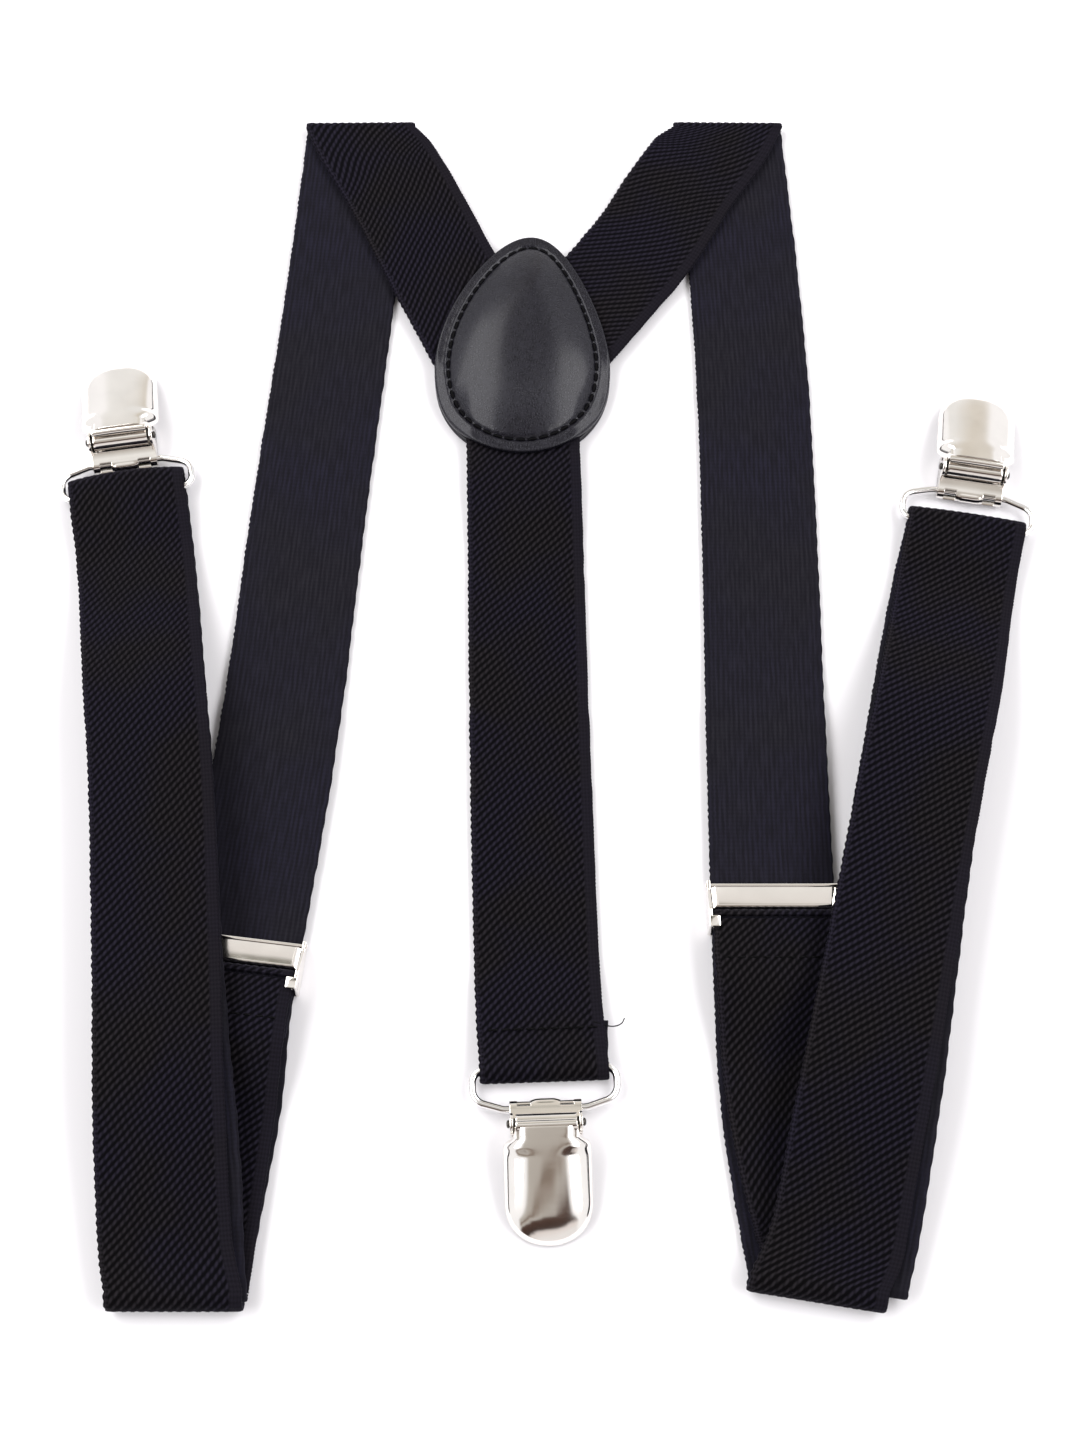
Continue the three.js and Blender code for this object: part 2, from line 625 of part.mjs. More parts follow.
function sideStrap(name, side) {
  const front = frontHeight(side);
  const hemEnd = side.returnRun[0][1];
  const returning = (y) => front(y) + LAYER
    + (HEM_HIGH - HEM_LOW) * smooth(hemEnd - 16, hemEnd, y);
  const [archFrom, archUp, archDown, archTo] = side.arch;
  const under = (y) => 2 * LAYER + (ARCH - 2 * LAYER) * smooth(archFrom, archUp, y)
    - ARCH * smooth(archDown, archTo, y);
  const lower = (y) => REST + under(y);
  const wireY = side.wire[1];
  const upper = (y) => lower(y) + LAYER
    + (2 * CLIP_TURN - LAYER) * smooth(wireY - 13, wireY - 1, y);

  const top = side.shoulder[side.shoulder.length - 1];
  const outerFold = side.front[side.front.length - 1];
  const innerFold = side.returnRun[side.returnRun.length - 1];
  const shoulder = toSolid(run(side.shoulder, () => UNDER_PATCH, null, side.topCross));
  add(`${name}_shoulder_run`, fromSolid(shoulder.subtract(otherHalf(name))), webbingCloth);
  add(`${name}_shoulder_fold`, turn({
    at: top, cross: side.topCross, outward: 1, low: REST, radius: LAYER / 2,
    width: WEBBING.foldWidth,
  }), webbingCloth);
  add(`${name}_front_run`, run(side.front, front, side.topCross, side.bottomCross),
    webbingCloth);
  add(`${name}_outer_fold`, turn({
    at: outerFold, cross: side.bottomCross, outward: -1, low: REST, radius: 1.5 * LAYER,
  }), webbingCloth);
  add(`${name}_clip_run_upper`, run(side.clipUpper, upper, side.bottomCross, side.turn),
    webbingCloth);
  add(`${name}_clip_fold`, turn({
    at: side.wire, cross: side.turn, outward: 1, low: REST, radius: CLIP_TURN,
    slack: side.slack,
  }), webbingCloth);
  add(`${name}_clip_run_lower`, run(side.clipLower, lower, side.bottomCross, side.turn),
    webbingCloth);
  add(`${name}_inner_fold`, turn({
    at: innerFold, cross: side.bottomCross, outward: -1, low: REST + LAYER,
    radius: LAYER / 2,
  }), webbingCloth);
  add(`${name}_return_run`, run(side.returnRun, returning, side.adjusterTurn,
    side.bottomCross), webbingCloth);
}

function backStrap() {
  const [, wireY] = BACK_STRAP.wire;
  const height = (y) => REST + (UNDER_PATCH - REST) * smooth(36, 58, y)
    + LAYER * (1 - smooth(wireY + 10, wireY + 24, y))
    + (2 * CLIP_TURN - LAYER) * (1 - smooth(wireY + 1, wireY + 10, y));
  add('back_strap_run', run(BACK_STRAP.line, height, 0, BACK_STRAP.turn - 180),
    webbingCloth);
  add('back_strap_hem', turn({
    at: BACK_STRAP.wire,
    cross: BACK_STRAP.turn - 180,
    outward: -1,
    low: REST,
    radius: CLIP_TURN,
    lowTail: BACK_STRAP.hemEnd,
  }), webbingCloth);
  const place = new THREE.Group();
  place.position.set(...BACK_STRAP.wire, 0);
  place.rotation.z = radians(BACK_STRAP.turn);
  group.add(place);
  const seamHeight = height(wireY + 7.5) + REST + GAP + 0.45;
  add('back_hem_stitching', rod(0.25, WEBBING.width / 2 - 2, -7.5, seamHeight, 6), thread, place);
}

leatherPatch();
backStrap();
clip('back', BACK_STRAP.wire, BACK_STRAP.turn);
for (const [name, side] of Object.entries(SIDES)) {
  sideStrap(name, side);
  adjuster(name, side.adjuster, side.adjusterTurn);
  clip(name, side.wire, side.turn);
}
group.position.set(-TABLE_CENTRE[0], -TABLE_CENTRE[1], 0);

export default group;
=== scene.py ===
"""Elastic Y-back suspenders laid flat: webbing, leather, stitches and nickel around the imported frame."""
import json
import math
from types import SimpleNamespace as Sizes

import bpy
import numpy as np
from mathutils import Matrix, Vector


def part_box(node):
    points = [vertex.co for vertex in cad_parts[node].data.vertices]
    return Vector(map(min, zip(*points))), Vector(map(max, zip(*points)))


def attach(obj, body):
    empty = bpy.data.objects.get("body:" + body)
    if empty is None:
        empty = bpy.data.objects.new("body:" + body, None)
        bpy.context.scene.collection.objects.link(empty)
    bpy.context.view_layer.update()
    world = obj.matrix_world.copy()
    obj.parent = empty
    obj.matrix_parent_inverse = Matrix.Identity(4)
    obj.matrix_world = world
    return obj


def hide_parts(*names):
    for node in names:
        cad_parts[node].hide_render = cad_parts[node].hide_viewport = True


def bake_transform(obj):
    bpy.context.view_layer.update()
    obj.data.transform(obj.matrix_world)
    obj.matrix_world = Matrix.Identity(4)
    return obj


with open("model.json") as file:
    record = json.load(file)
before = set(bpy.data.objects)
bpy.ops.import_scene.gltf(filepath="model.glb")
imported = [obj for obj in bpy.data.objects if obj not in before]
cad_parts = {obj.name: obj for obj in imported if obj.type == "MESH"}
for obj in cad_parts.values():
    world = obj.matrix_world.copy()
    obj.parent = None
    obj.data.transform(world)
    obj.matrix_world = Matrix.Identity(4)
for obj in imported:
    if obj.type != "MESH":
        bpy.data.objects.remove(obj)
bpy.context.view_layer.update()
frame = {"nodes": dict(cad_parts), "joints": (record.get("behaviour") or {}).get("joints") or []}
joints = {joint["name"]: joint for joint in frame["joints"]}
rng = np.random.default_rng(7)

MM = 0.001
CLIPS = ("back", "left", "right")
SIDES = ("left", "right")

# ---- Camera ----
CAMERA = Sizes(target=(-0.00121, -0.01531, 0.0), distance=0.410, tilt=21.6, lens=50.0)


def add_camera():
    """The photograph's view: from above, leaning towards the clip at the back strap's end."""
    tilt = math.radians(CAMERA.tilt)
    data = bpy.data.cameras.new("camera")
    data.lens = CAMERA.lens
    data.sensor_fit = "VERTICAL"
    data.sensor_height = 36.0
    data.clip_start = 0.01
    camera = bpy.data.objects.new("camera", data)
    back = Vector((0, -math.sin(tilt), math.cos(tilt)))
    camera.location = Vector(CAMERA.target) + back * CAMERA.distance
    camera.rotation_euler = (tilt, 0, 0)
    bpy.context.scene.collection.objects.link(camera)
    bpy.context.scene.camera = camera


add_camera()

# ---- Dimensions of what is built here, in millimetres ----
GAP = 0.3  # what the CAD leaves between pieces that touch
WEBBING = Sizes(
    half_width=12.25, half_thickness=0.65,
    rib_pitch=1.59,  # from rib to rib along the strap
    rib_slope=0.95,  # how far a rib climbs along the strap for each step across it
    rib_depth=0.22, right_selvedge=2.2, left_selvedge=1.0, tooth_pitch=0.84, scallop=0.13,
)
# Where the ribs give way to the plain selvedge: from no selvedge to all of it, across the strap.
RIGHT_PLAIN = (WEBBING.half_width - WEBBING.right_selvedge - 0.3,
               WEBBING.half_width - WEBBING.right_selvedge + 0.3)
LEFT_PLAIN = (-WEBBING.half_width + WEBBING.left_selvedge + 0.2,
              -WEBBING.half_width + WEBBING.left_selvedge - 0.2)
FINE_STEP, COARSE_STEP = 0.385, 0.7  # between sections: where the ribs face up, and where they face down
CLIP_TURN = {"left": (1.9, 1.0), "right": (0.0, 0.3)}  # slack and bow of a strap's turn round its wire
PATCH = Sizes(
    leather=1.0, border=3.5, seam=2.9, stitch_pitch=2.5, crown=4.0, egg=0.29,
    lean=1.8,  # how far the upper end leans to the right
    hidden_end=13.0,  # how far a shoulder run goes on under the leather
)
PER_STITCH = 8  # steps round the patch for each stitch
CLIP = Sizes(
    sheet=0.6, bar=(7.5, 1.95), wire_radius=0.75, pin=(11.0, 6.2), pin_radius=0.6, pin_reach=7.5,
    ear=6.5, ear_radius=2.1, jaw_half=6.3, jaw_end=31.0, nose=6.0,
    tongue=0.34,  # how far the tongue stands out of the curl
    slot=(4.15, 1.3),  # middle and half width of the slots beside the tongue
    cover_length=21.9, cover_half=7.75, neck_half=5.8, cover_slope=15.2,
)
ADJUSTER = Sizes(
    plate=0.6, inside=12.55, top=0.9, bottom=-9.4, wall=7.4, lever_half=12.2, lever_length=4.7, teeth=11,
    stub=0.3,  # how far the pivot stands out of the side walls
    bar_y=-8.3, hem=(-7.3, -18.2),  # where the hem turns round the crossbar, and where it ends
)


# ---- Small tools ----
def smooth(low, high, value):
    """A soft step from 0 at low to 1 at high."""
    share = np.clip((np.asarray(value, float) - low) / (high - low), 0, 1)
    return share * share * (3 - 2 * share)


def unit(rows):
    """Each row at length one."""
    rows = np.asarray(rows, float)
    return rows / np.maximum(np.linalg.norm(rows, axis=-1, keepdims=True), 1e-12)


def spline(points, step):
    """A smooth curve through the points, as rows about step apart."""
    points = np.asarray(points, float)
    gaps = np.maximum(np.linalg.norm(np.diff(points, axis=0), axis=1), 1e-9)
    slopes = np.diff(points, axis=0) / gaps[:, None]
    inner = (slopes[:-1] * gaps[1:, None] + slopes[1:] * gaps[:-1, None]) / (gaps[:-1] + gaps[1:])[:, None]
    tangents = np.vstack([slopes[:1], inner, slopes[-1:]])
    rows = []
    for i, gap in enumerate(gaps):
        count = max(1, int(round(gap / step)))
        t = np.arange(count)[:, None] / count
        rows.append(
            (2 * t**3 - 3 * t**2 + 1) * points[i]
            + (t**3 - 2 * t**2 + t) * gap * tangents[i]
            + (3 * t**2 - 2 * t**3) * points[i + 1]
            + (t**3 - t**2) * gap * tangents[i + 1]
        )
    return np.vstack([*rows, points[-1:]])


def rounded(corners, step=0.25, closed=False):
    """A polyline with its corners rounded. Each corner is x, y, radius."""
    corners = [np.asarray(c, float) for c in corners]
    rows = []
    last = len(corners) - 1
    for i, corner in enumerate(corners):
        if not closed and i in (0, last):
            rows.append(corner[:2])
            continue
        before = unit(corners[i - 1][:2] - corner[:2])
        after = unit(corners[(i + 1) % len(corners)][:2] - corner[:2])
        opening = math.acos(float(np.clip(before @ after, -1, 1)))
        reach = corner[2] / math.tan(opening / 2)
        centre = corner[:2] + unit(before + after) * corner[2] / math.sin(opening / 2)
        start = corner[:2] + before * reach - centre
        sweep = math.pi - opening
        turn = 1.0 if before[0] * after[1] - before[1] * after[0] < 0 else -1.0
        count = max(2, int(math.ceil(sweep * corner[2] / step)))
        for k in range(count + 1):
            a = turn * sweep * k / count
            c, s = math.cos(a), math.sin(a)
            rows.append(centre + np.array([start[0] * c - start[1] * s, start[0] * s + start[1] * c]))
    return np.array(rows)


def make_piece(name, points, faces, materials, face_slots=None, uv=None, sharp=40):
    mesh = bpy.data.meshes.new(name)
    mesh.from_pydata(np.asarray(points, float).tolist(), [], [list(map(int, f)) for f in faces])
    mesh.update()
    for material in materials:
        mesh.materials.append(material)
    if face_slots is not None:
        mesh.polygons.foreach_set("material_index", np.asarray(face_slots, np.int32))
    if uv is not None:
        corner = np.zeros(len(mesh.loops), np.int32)
        mesh.loops.foreach_get("vertex_index", corner)
        layer = mesh.uv_layers.new(name="weave")
        layer.data.foreach_set("uv", np.asarray(uv, np.float32)[corner].ravel())
    piece = bpy.data.objects.new(name, mesh)
    bpy.context.scene.collection.objects.link(piece)
    mesh.shade_smooth()
    mesh.set_sharp_from_angle(angle=math.radians(sharp))
    return piece


def grid_faces(rows, columns, around=False, keep=None):
    """Quads over a grid of rows by columns points. keep says which cells are there."""
    i, j = np.meshgrid(np.arange(rows - 1), np.arange(columns if around else columns - 1), indexing="ij")
    if keep is not None:
        i, j = i[keep], j[keep]
    i, j = i.ravel(), j.ravel()
    k = (j + 1) % columns
    return np.stack([i * columns + j, i * columns + k, (i + 1) * columns + k, (i + 1) * columns + j], 1)


def skin(rings, closed=False):
    """Points and faces over rings of points. Its ends meet, or each has a flat cap."""
    rings = np.asarray(rings, float)
    rows, columns = rings.shape[:2]
    faces = grid_faces(rows, columns, around=True).tolist()
    last = (rows - 1) * columns
    if closed:
        faces += [[last + j, last + (j + 1) % columns, (j + 1) % columns, j] for j in range(columns)]
    else:
        faces += [list(range(columns))[::-1], [last + j for j in range(columns)]]
    return rings.reshape(-1, 3), faces


def tube(path, radius, closed=False, sides=16):
    """Points and faces of a round tube along a path of three-dimensional rows."""
    path = np.asarray(path, float)
    if closed:
        along = unit(np.roll(path, -1, 0) - np.roll(path, 1, 0))
    else:
        along = unit(np.gradient(path, axis=0))
    side = unit(np.cross([0.0, 0.0, 1.0], along) + 1e-9)
    up = np.cross(along, side)
    angles = 2 * np.pi * np.arange(sides) / sides
    radius = np.broadcast_to(np.asarray(radius, float), (len(path),))[:, None, None]
    ring = np.cos(angles)[None, :, None] * side[:, None] + np.sin(angles)[None, :, None] * up[:, None]
    return skin(path[:, None] + radius * ring, closed)


def joined(parts):
    """Several (points, faces) as one."""
    points, faces, start = [], [], 0
    for part_points, part_faces in parts:
        points.append(np.asarray(part_points, float))
        faces += [[int(v) + start for v in face] for face in part_faces]
        start += len(part_points)
    return np.vstack(points), faces


def bevelled(piece, width, sharp=40, steepest=30):
    """Rounds the edges that turn by more than steepest degrees, and applies all modifiers."""
    edge = piece.modifiers.new("edges", "BEVEL")
    edge.width = width
    edge.segments = 2
    edge.limit_method = "ANGLE"
    edge.angle_limit = math.radians(steepest)
    graph = bpy.context.evaluated_depsgraph_get()
    final = bpy.data.meshes.new_from_object(piece.evaluated_get(graph))
    piece.modifiers.clear()
    piece.data = final
    final.shade_smooth()
    final.set_sharp_from_angle(angle=math.radians(sharp))


def sheet_metal(name, points, faces, thickness, bevel, offset=0.0, sharp=40):
    """A nickel piece out of an open surface, with its thickness and small round edges."""
    piece = make_piece(name, points, faces, [NICKEL])
    thick = piece.modifiers.new("thickness", "SOLIDIFY")
    thick.thickness = thickness
    thick.offset = offset
    bevelled(piece, bevel, sharp, steepest=50)
    return piece


def flat_pair(name, corners, thickness, bevel):
    """A flat nickel piece on each side. The corners are those of the one on the right."""
    return [sheet_metal(f"{name}{side}", [(side * x, y, z) for x, y, z in corners], [range(len(corners))],
                        thickness, bevel) for side in (-1, 1)]


def joined_nickel(name, pieces):
    """One nickel piece out of several, which it uses up."""
    parts = []
    for piece in pieces:
        mesh = piece.data
        parts.append(([tuple(v.co) for v in mesh.vertices], [list(p.vertices) for p in mesh.polygons]))
        bpy.data.objects.remove(piece)
        bpy.data.meshes.remove(mesh)
    return make_piece(name, *joined(parts), [NICKEL])


def tie(piece, body, slot, *nodes):
    """Ties a piece to its body and hides the CAD nodes that it stands for. slot is not used."""
    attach(piece, body)
    if nodes:
        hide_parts(*nodes)
    return piece


def put(piece, place, body, slot, *nodes):
    """Moves a piece made in millimetres to its place in the frame, and ties it."""
    piece.data.transform(place @ Matrix.Scale(MM, 4))
    piece.data.update()
    return tie(piece, body, slot, *nodes)


def box_mm(node):
    """The low and high corner of a CAD node, in millimetres."""
    return (np.array(corner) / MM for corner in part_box(node))


def local_frame(joint_name, turned=1):
    """The frame of a clip or adjuster: its origin on the table, X across and Y along the strap.
    turned is -1 where the joint's axis points the other way."""
    x = Vector(joints[joint_name]["axis"]).normalized() * turned
    z = Vector((0, 0, 1))
    place = Matrix((x, z.cross(x), z)).transposed().to_4x4()
    place.translation = (*joints[joint_name]["pos_m"][:2], 0)
    return place


# ---- Materials ----
class Nodes:
    """Short names for the nodes of a tree."""

    def __init__(self, tree):
        self.tree = tree

    def node(self, kind, inputs=(), **settings):
        made = self.tree.nodes.new("ShaderNode" + kind)
        for key, value in settings.items():
            setattr(made, key, value)
        for key, value in dict(inputs).items():
            self.feed(value, made.inputs[key])
        return made

    def feed(self, value, socket):
        if isinstance(value, bpy.types.NodeSocket):
            self.tree.links.new(value, socket)
        else:
            socket.default_value = value

    def math(self, operation, *values):
        return self.node("Math", enumerate(values), operation=operation).outputs[0]

    def plus(self, *values):
        return self.math("ADD", *values)

    def times(self, *values):
        return self.math("MULTIPLY", *values)

    def scaled(self, value, factor, offset):
        return self.math("MULTIPLY_ADD", value, factor, offset)

    def wave(self, value):
        """From 0 to 1 and back as value grows by one, with its peaks at whole numbers."""
        return self.scaled(self.math("COSINE", self.times(value, 2 * math.pi)), 0.5, 0.5)

    def range(self, value, low, high, to_low=0.0, to_high=1.0, shape="SMOOTHSTEP"):
        inputs = {0: value, 1: low, 2: high, 3: to_low, 4: to_high}
        return self.node("MapRange", inputs, interpolation_type=shape).outputs[0]

    def noise(self, vector, scale, detail=2.0, roughness=0.5):
        inputs = {"Vector": vector, "Scale": scale, "Detail": detail, "Roughness": roughness}
        return self.node("TexNoise", inputs).outputs["Fac"]

    def place(self):
        return self.node("TexCoord").outputs["Object"]

    def mix(self, share, *colours):
        made = self.node("Mix", {0: share}, data_type="RGBA")
        for socket, colour in zip(made.inputs[6:8], colours):
            self.feed(colour if isinstance(colour, bpy.types.NodeSocket) else (*colour, 1.0), socket)
        return made.outputs[2]


class Shader(Nodes):
    """A Principled material."""

    def __init__(self, name, **values):
        self.material = bpy.data.materials.new(name)
        self.material.use_nodes = True
        super().__init__(self.material.node_tree)
        self.main = self.tree.nodes["Principled BSDF"]
        for socket, value in values.items():
            self.set(socket.replace("_", " "), value)

    def set(self, socket, value):
        self.feed(value, self.main.inputs[socket])

    def bump(self, height, distance, strength=1.0):
        inputs = {"Height": height, "Distance": distance, "Strength": strength}
        self.set("Normal", self.node("Bump", inputs).outputs[0])


def cloth(name, **values):
    """A webbing material, its weave's coordinates, and how far along and across the strap they are, in
    millimetres."""
    violet = (0.75, 0.70, 1.0, 1.0)
    s = Shader(name, Specular_IOR_Level=0.03, Sheen_Roughness=0.5, Sheen_Tint=violet, **values)
    weave = s.node("UVMap", uv_map="weave").outputs[0]
    parts = s.node("SeparateXYZ", {0: weave})
    return s, weave, parts.outputs[0], parts.outputs[1]


def lint(shader, weave, colour):
    """A few pale specks of lint on the colour."""
    cells = shader.node("TexVoronoi", {"Vector": weave, "Scale": 0.045}, feature="F1")
    speck = shader.math("LESS_THAN", cells.outputs["Distance"], 0.011)
    rare = shader.node("TexWhiteNoise", {"Vector": cells.outputs["Position"]}).outputs["Value"]
    chosen = shader.times(speck, shader.math("GREATER_THAN", rare, 0.72))
    return shader.mix(chosen, colour, (0.20, 0.19, 0.20))


def webbing_face():
    """Twill ribs made of short floats, and a plain selvedge along both edges, with painted shade low in the
    weave and painted light on its ribs.
    """
    s, weave, along, across = cloth("webbing_face", Roughness=0.75, Sheen_Weight=0.02)
    climb = s.times(across, WEBBING.rib_slope)
    wander = s.times(s.noise(weave, 0.16, 1.0), 0.5)
    phase = s.math("DIVIDE", s.plus(s.math("SUBTRACT", along, climb), wander), WEBBING.rib_pitch)
    row = s.times(s.math("FLOOR", s.plus(phase, 0.5)), 0.37)
    floats = s.wave(s.plus(s.times(across, 1.02), row))
    twill = s.times(s.wave(phase), s.scaled(floats, 0.45, 0.55))
    right = s.range(across, *RIGHT_PLAIN)
    plain = s.math("MAXIMUM", right, s.range(across, *LEFT_PLAIN))
    picks = s.wave(s.math("DIVIDE", along, WEBBING.tooth_pitch))
    cords = s.wave(s.math("DIVIDE", across, 0.62))
    selvedge = s.scaled(picks, 0.35, s.times(cords, 0.3))
    height = s.node("Mix", {0: plain, 2: twill, 3: s.plus(selvedge, 0.25)}).outputs[0]
    fibre = s.noise(weave, 7.0, 3.0, 0.7)
    full = s.scaled(fibre, 0.35, height)
    cool = s.range(s.noise(weave, 0.05, 2.0), 0.35, 0.65)
    # Painted shade and light: the colour follows the weave's height, near black low between the ribs and
    # lighter on their tops.
    deep = s.mix(cool, (0.0008, 0.0006, 0.0008), (0.0007, 0.0006, 0.0013))
    light = s.mix(cool, (0.0128, 0.0112, 0.0132), (0.0118, 0.0103, 0.0178))
    colour = s.mix(s.range(full, 0.25, 1.2), deep, light)
    edged = s.mix(s.times(right, 0.7), colour, (0.0060, 0.0052, 0.0078))
    s.set("Base Color", lint(s, weave, edged))
    s.set("Roughness", s.range(fibre, 0.2, 0.8, 0.62, 0.85))
    s.bump(full, 0.12 * MM, 0.9)
    return s.material


def webbing_back():
    """The smooth side: fine lengthwise lines of covered rubber, crossed by faint picks."""
    s, weave, along, across = cloth("webbing_back", Roughness=0.76, Sheen_Weight=0.03)
    stretch = s.node("Mapping", {"Vector": weave, "Scale": (0.12, 1.1, 1.0)}).outputs[0]
    streak = s.noise(stretch, 1.6, 3.0, 0.6)
    wobble = s.times(s.noise(weave, 0.3, 1.0), 0.25)
    cords = s.wave(s.plus(s.math("DIVIDE", across, 0.98), wobble))
    picks = s.wave(s.math("DIVIDE", along, WEBBING.tooth_pitch))
    fibre = s.noise(weave, 6.0, 3.0, 0.7)
    full = s.plus(s.times(fibre, 0.4), s.scaled(cords, 0.55, s.times(picks, 0.22)))
    tint = s.range(s.noise(weave, 0.035, 2.0), 0.38, 0.62)
    base = s.mix(tint, (0.0118, 0.0112, 0.0148), (0.0110, 0.0103, 0.0182))
    # Darker along random lengthwise streaks, which is the cloth's own tone, and in the low grooves between
    # cords and picks, which is painted shade.
    streak_and_groove_shade = s.range(s.scaled(streak, 1.1, s.times(full, 0.5)), 0.55, 1.25)
    s.set("Base Color", lint(s, weave, s.mix(streak_and_groove_shade, (0.0058, 0.0054, 0.0078), base)))
    s.set("Roughness", s.range(fibre, 0.2, 0.8, 0.65, 0.85))
    s.bump(full, 0.06 * MM, 0.8)
    return s.material


def leather(name, gloss, grain=1.0):
    """Coated black leather with a pebble grain and fine creases."""
    s = Shader(name, Roughness=gloss, Specular_IOR_Level=0.17, Coat_Weight=0.30, Coat_Roughness=0.20,
               Coat_Tint=(0.92, 0.92, 1.0, 1.0), Specular_Tint=(0.88, 0.88, 1.0, 1.0))
    place = s.place()
    cells = s.node("TexVoronoi", {"Vector": place, "Scale": 1900.0}, feature="DISTANCE_TO_EDGE")
    pebble = s.range(cells.outputs["Distance"], 0.0, 0.30)
    lump = s.noise(place, 900.0, 3.0, 0.65)
    crease = s.noise(place, 260.0, 3.0, 0.6)
    soft = s.noise(place, 70.0, 2.0)
    height = s.scaled(crease, 0.9, s.scaled(pebble, 0.9, s.times(lump, 1.5)))
    s.set("Base Color", s.mix(s.range(lump, 0.3, 0.7), (0.0030, 0.0028, 0.0046), (0.0062, 0.0058, 0.0088)))
    s.set("Roughness", s.scaled(pebble, -0.14, s.scaled(lump, 0.36, gloss - 0.10)))
    s.bump(s.scaled(soft, 3.0, height), 0.048 * MM * grain)
    return s.material


def thread():
    """Twisted black sewing thread."""
    s = Shader("thread", Roughness=0.7, Specular_IOR_Level=0.06)
    waves = {"Vector": s.place(), "Scale": 900.0, "Distortion": 1.0}
    twist = s.node("TexWave", waves, bands_direction="DIAGONAL").outputs["Fac"]
    # The colour follows the twist: painted shade in its grooves, and lighter on the strands.
    s.set("Base Color", s.mix(twist, (0.0008, 0.0008, 0.0010), (0.0030, 0.0028, 0.0036)))
    s.bump(twist, 0.04 * MM, 0.6)
    return s.material


def nickel(name, colour, rough, painted_shade=None):
    """Bright nickel plate with hairline scratches and a little cloudiness. The last argument, if given, says
    where the plate is painted dark, as shade."""
    s = Shader(name, Metallic=1.0, Roughness=rough)
    place = s.place()
    cloud = s.noise(place, 160.0, 3.0)
    brushed = {"Vector": place, "Scale": (260.0, 2600.0, 900.0), "Rotation": (0.0, 0.0, 0.6)}
    scratch = s.noise(s.node("Mapping", brushed).outputs[0], 1.0, 2.0)
    plate = s.mix(s.range(cloud, 0.3, 0.7), colour, tuple(min(c * 1.05, 1.0) for c in colour))
    if painted_shade:
        # Painted shade: the plate is darkened towards near black where the last argument says.
        plate = s.mix(painted_shade(s), plate, (0.012, 0.011, 0.010))
    s.set("Base Color", plate)
    spread = s.times(s.range(cloud, 0.35, 0.75), 0.06)
    s.set("Roughness", s.plus(s.scaled(scratch, 0.05, rough - 0.03), spread))
    s.bump(s.scaled(scratch, 0.15, s.times(s.noise(place, 420.0, 1.0), 0.5)), 0.012 * MM, 0.3)
    return s.material


def painted_shade_in_curl(s):
    """Painted shade on a clip's wire: dark along the bar that turns inside the clip's curl."""
    parts = s.node("SeparateXYZ", {0: s.place()})
    between = s.range(s.math("ABSOLUTE", parts.outputs[0]), 6.3 * MM, 5.9 * MM)
    front = s.range(parts.outputs[1], 5.6 * MM, 6.2 * MM)
    return s.times(s.times(between, front), 0.94)


def jaw_plastic():
    """Natural moulded plastic."""
    s = Shader("jaw_plastic", Roughness=0.45, Specular_IOR_Level=0.5, Subsurface_Weight=0.15,
               Subsurface_Radius=(0.001, 0.0008, 0.0006))
    place = s.place()
    s.set("Base Color", s.mix(s.noise(place, 300.0, 2.0), (0.70, 0.67, 0.58), (0.80, 0.78, 0.70)))
    s.bump(s.noise(place, 2200.0, 2.0), 0.01 * MM, 0.4)
    return s.material


FACE = webbing_face()
BACK = webbing_back()
LEATHER = leather("leather", 0.30)
BACKING = leather("leather_backing", 0.55, 0.8)
THREAD = thread()
NICKEL = nickel("nickel", (0.87, 0.84, 0.80), 0.085)
STEEL = nickel("steel", (0.84, 0.83, 0.82), 0.10)
# The wire is painted dark, as shade, along its bar inside the clip's curl.
WIRE_WITH_PAINTED_SHADE = nickel("steel_wire", (0.84, 0.83, 0.82), 0.10, painted_shade_in_curl)
# The pins' steel is painted near black, as the shade and dark reflections on their ends.
PIN_PAINTED_DARK = nickel("pin_steel_painted_shade", (0.07, 0.065, 0.06), 0.22)
PLASTIC = jaw_plastic()


# ---- Webbing ribbons ----
def sections_of(node, beyond=None):
    """The two edges of a CAD run at each of its steps, nearest the shoulder first, in millimetres.
    beyond is a plan point and direction: steps nearer than that are left out."""
    found = {tuple(np.round(v.co, 7)) for v in frame["nodes"][node].data.vertices}
    points = np.array(sorted(found)) / MM
    if beyond is not None:
        origin, heading = beyond
        points = points[(points[:, :2] - origin) @ heading > 0]
    slope, offset = np.polyfit(points[:, 1], points[:, 0], 1)
    on_right = points[:, 0] > slope * points[:, 1] + offset
    edges = []
    for side in (points[~on_right], points[on_right]):
        side = side[np.argsort(-side[:, 1] - slope * side[:, 0])]
        edges.append((side[0::2] + side[1::2]) / 2)
    return np.hstack([*edges, np.zeros((len(edges[0]), 3))])


def resampled(sections, step):
    """Sections with an even spacing along a smooth path. A section is its left edge, its right edge,
    and how far its middle stands out from the straight line between them."""
    return spline(sections, step * math.sqrt(2))


def fold(heading, first, second, reach=0.0, steps=12, bow=0.0):
    """Sections of a half turn from one section to another above or below it, towards a plan heading."""
    middle = (first + second) / 2
    half = (first - second) / 2
    across = unit(middle[3:5] - middle[:2])
    out = np.array([-across[1], across[0], 0.0])
    if out[:2] @ np.array(heading, float) < 0:
        out = -out
    outward = np.concatenate([out, out, out * 0])
    bulge = np.concatenate([out * 0, out * 0, out * bow])
    rows = []
    for k in range(steps + 1):
        angle = math.pi * k / steps
        push = outward * (reach + abs(half[2]) * math.sin(angle))
        rows.append(middle + half * math.cos(angle) + push + bulge)
    return np.array(rows)


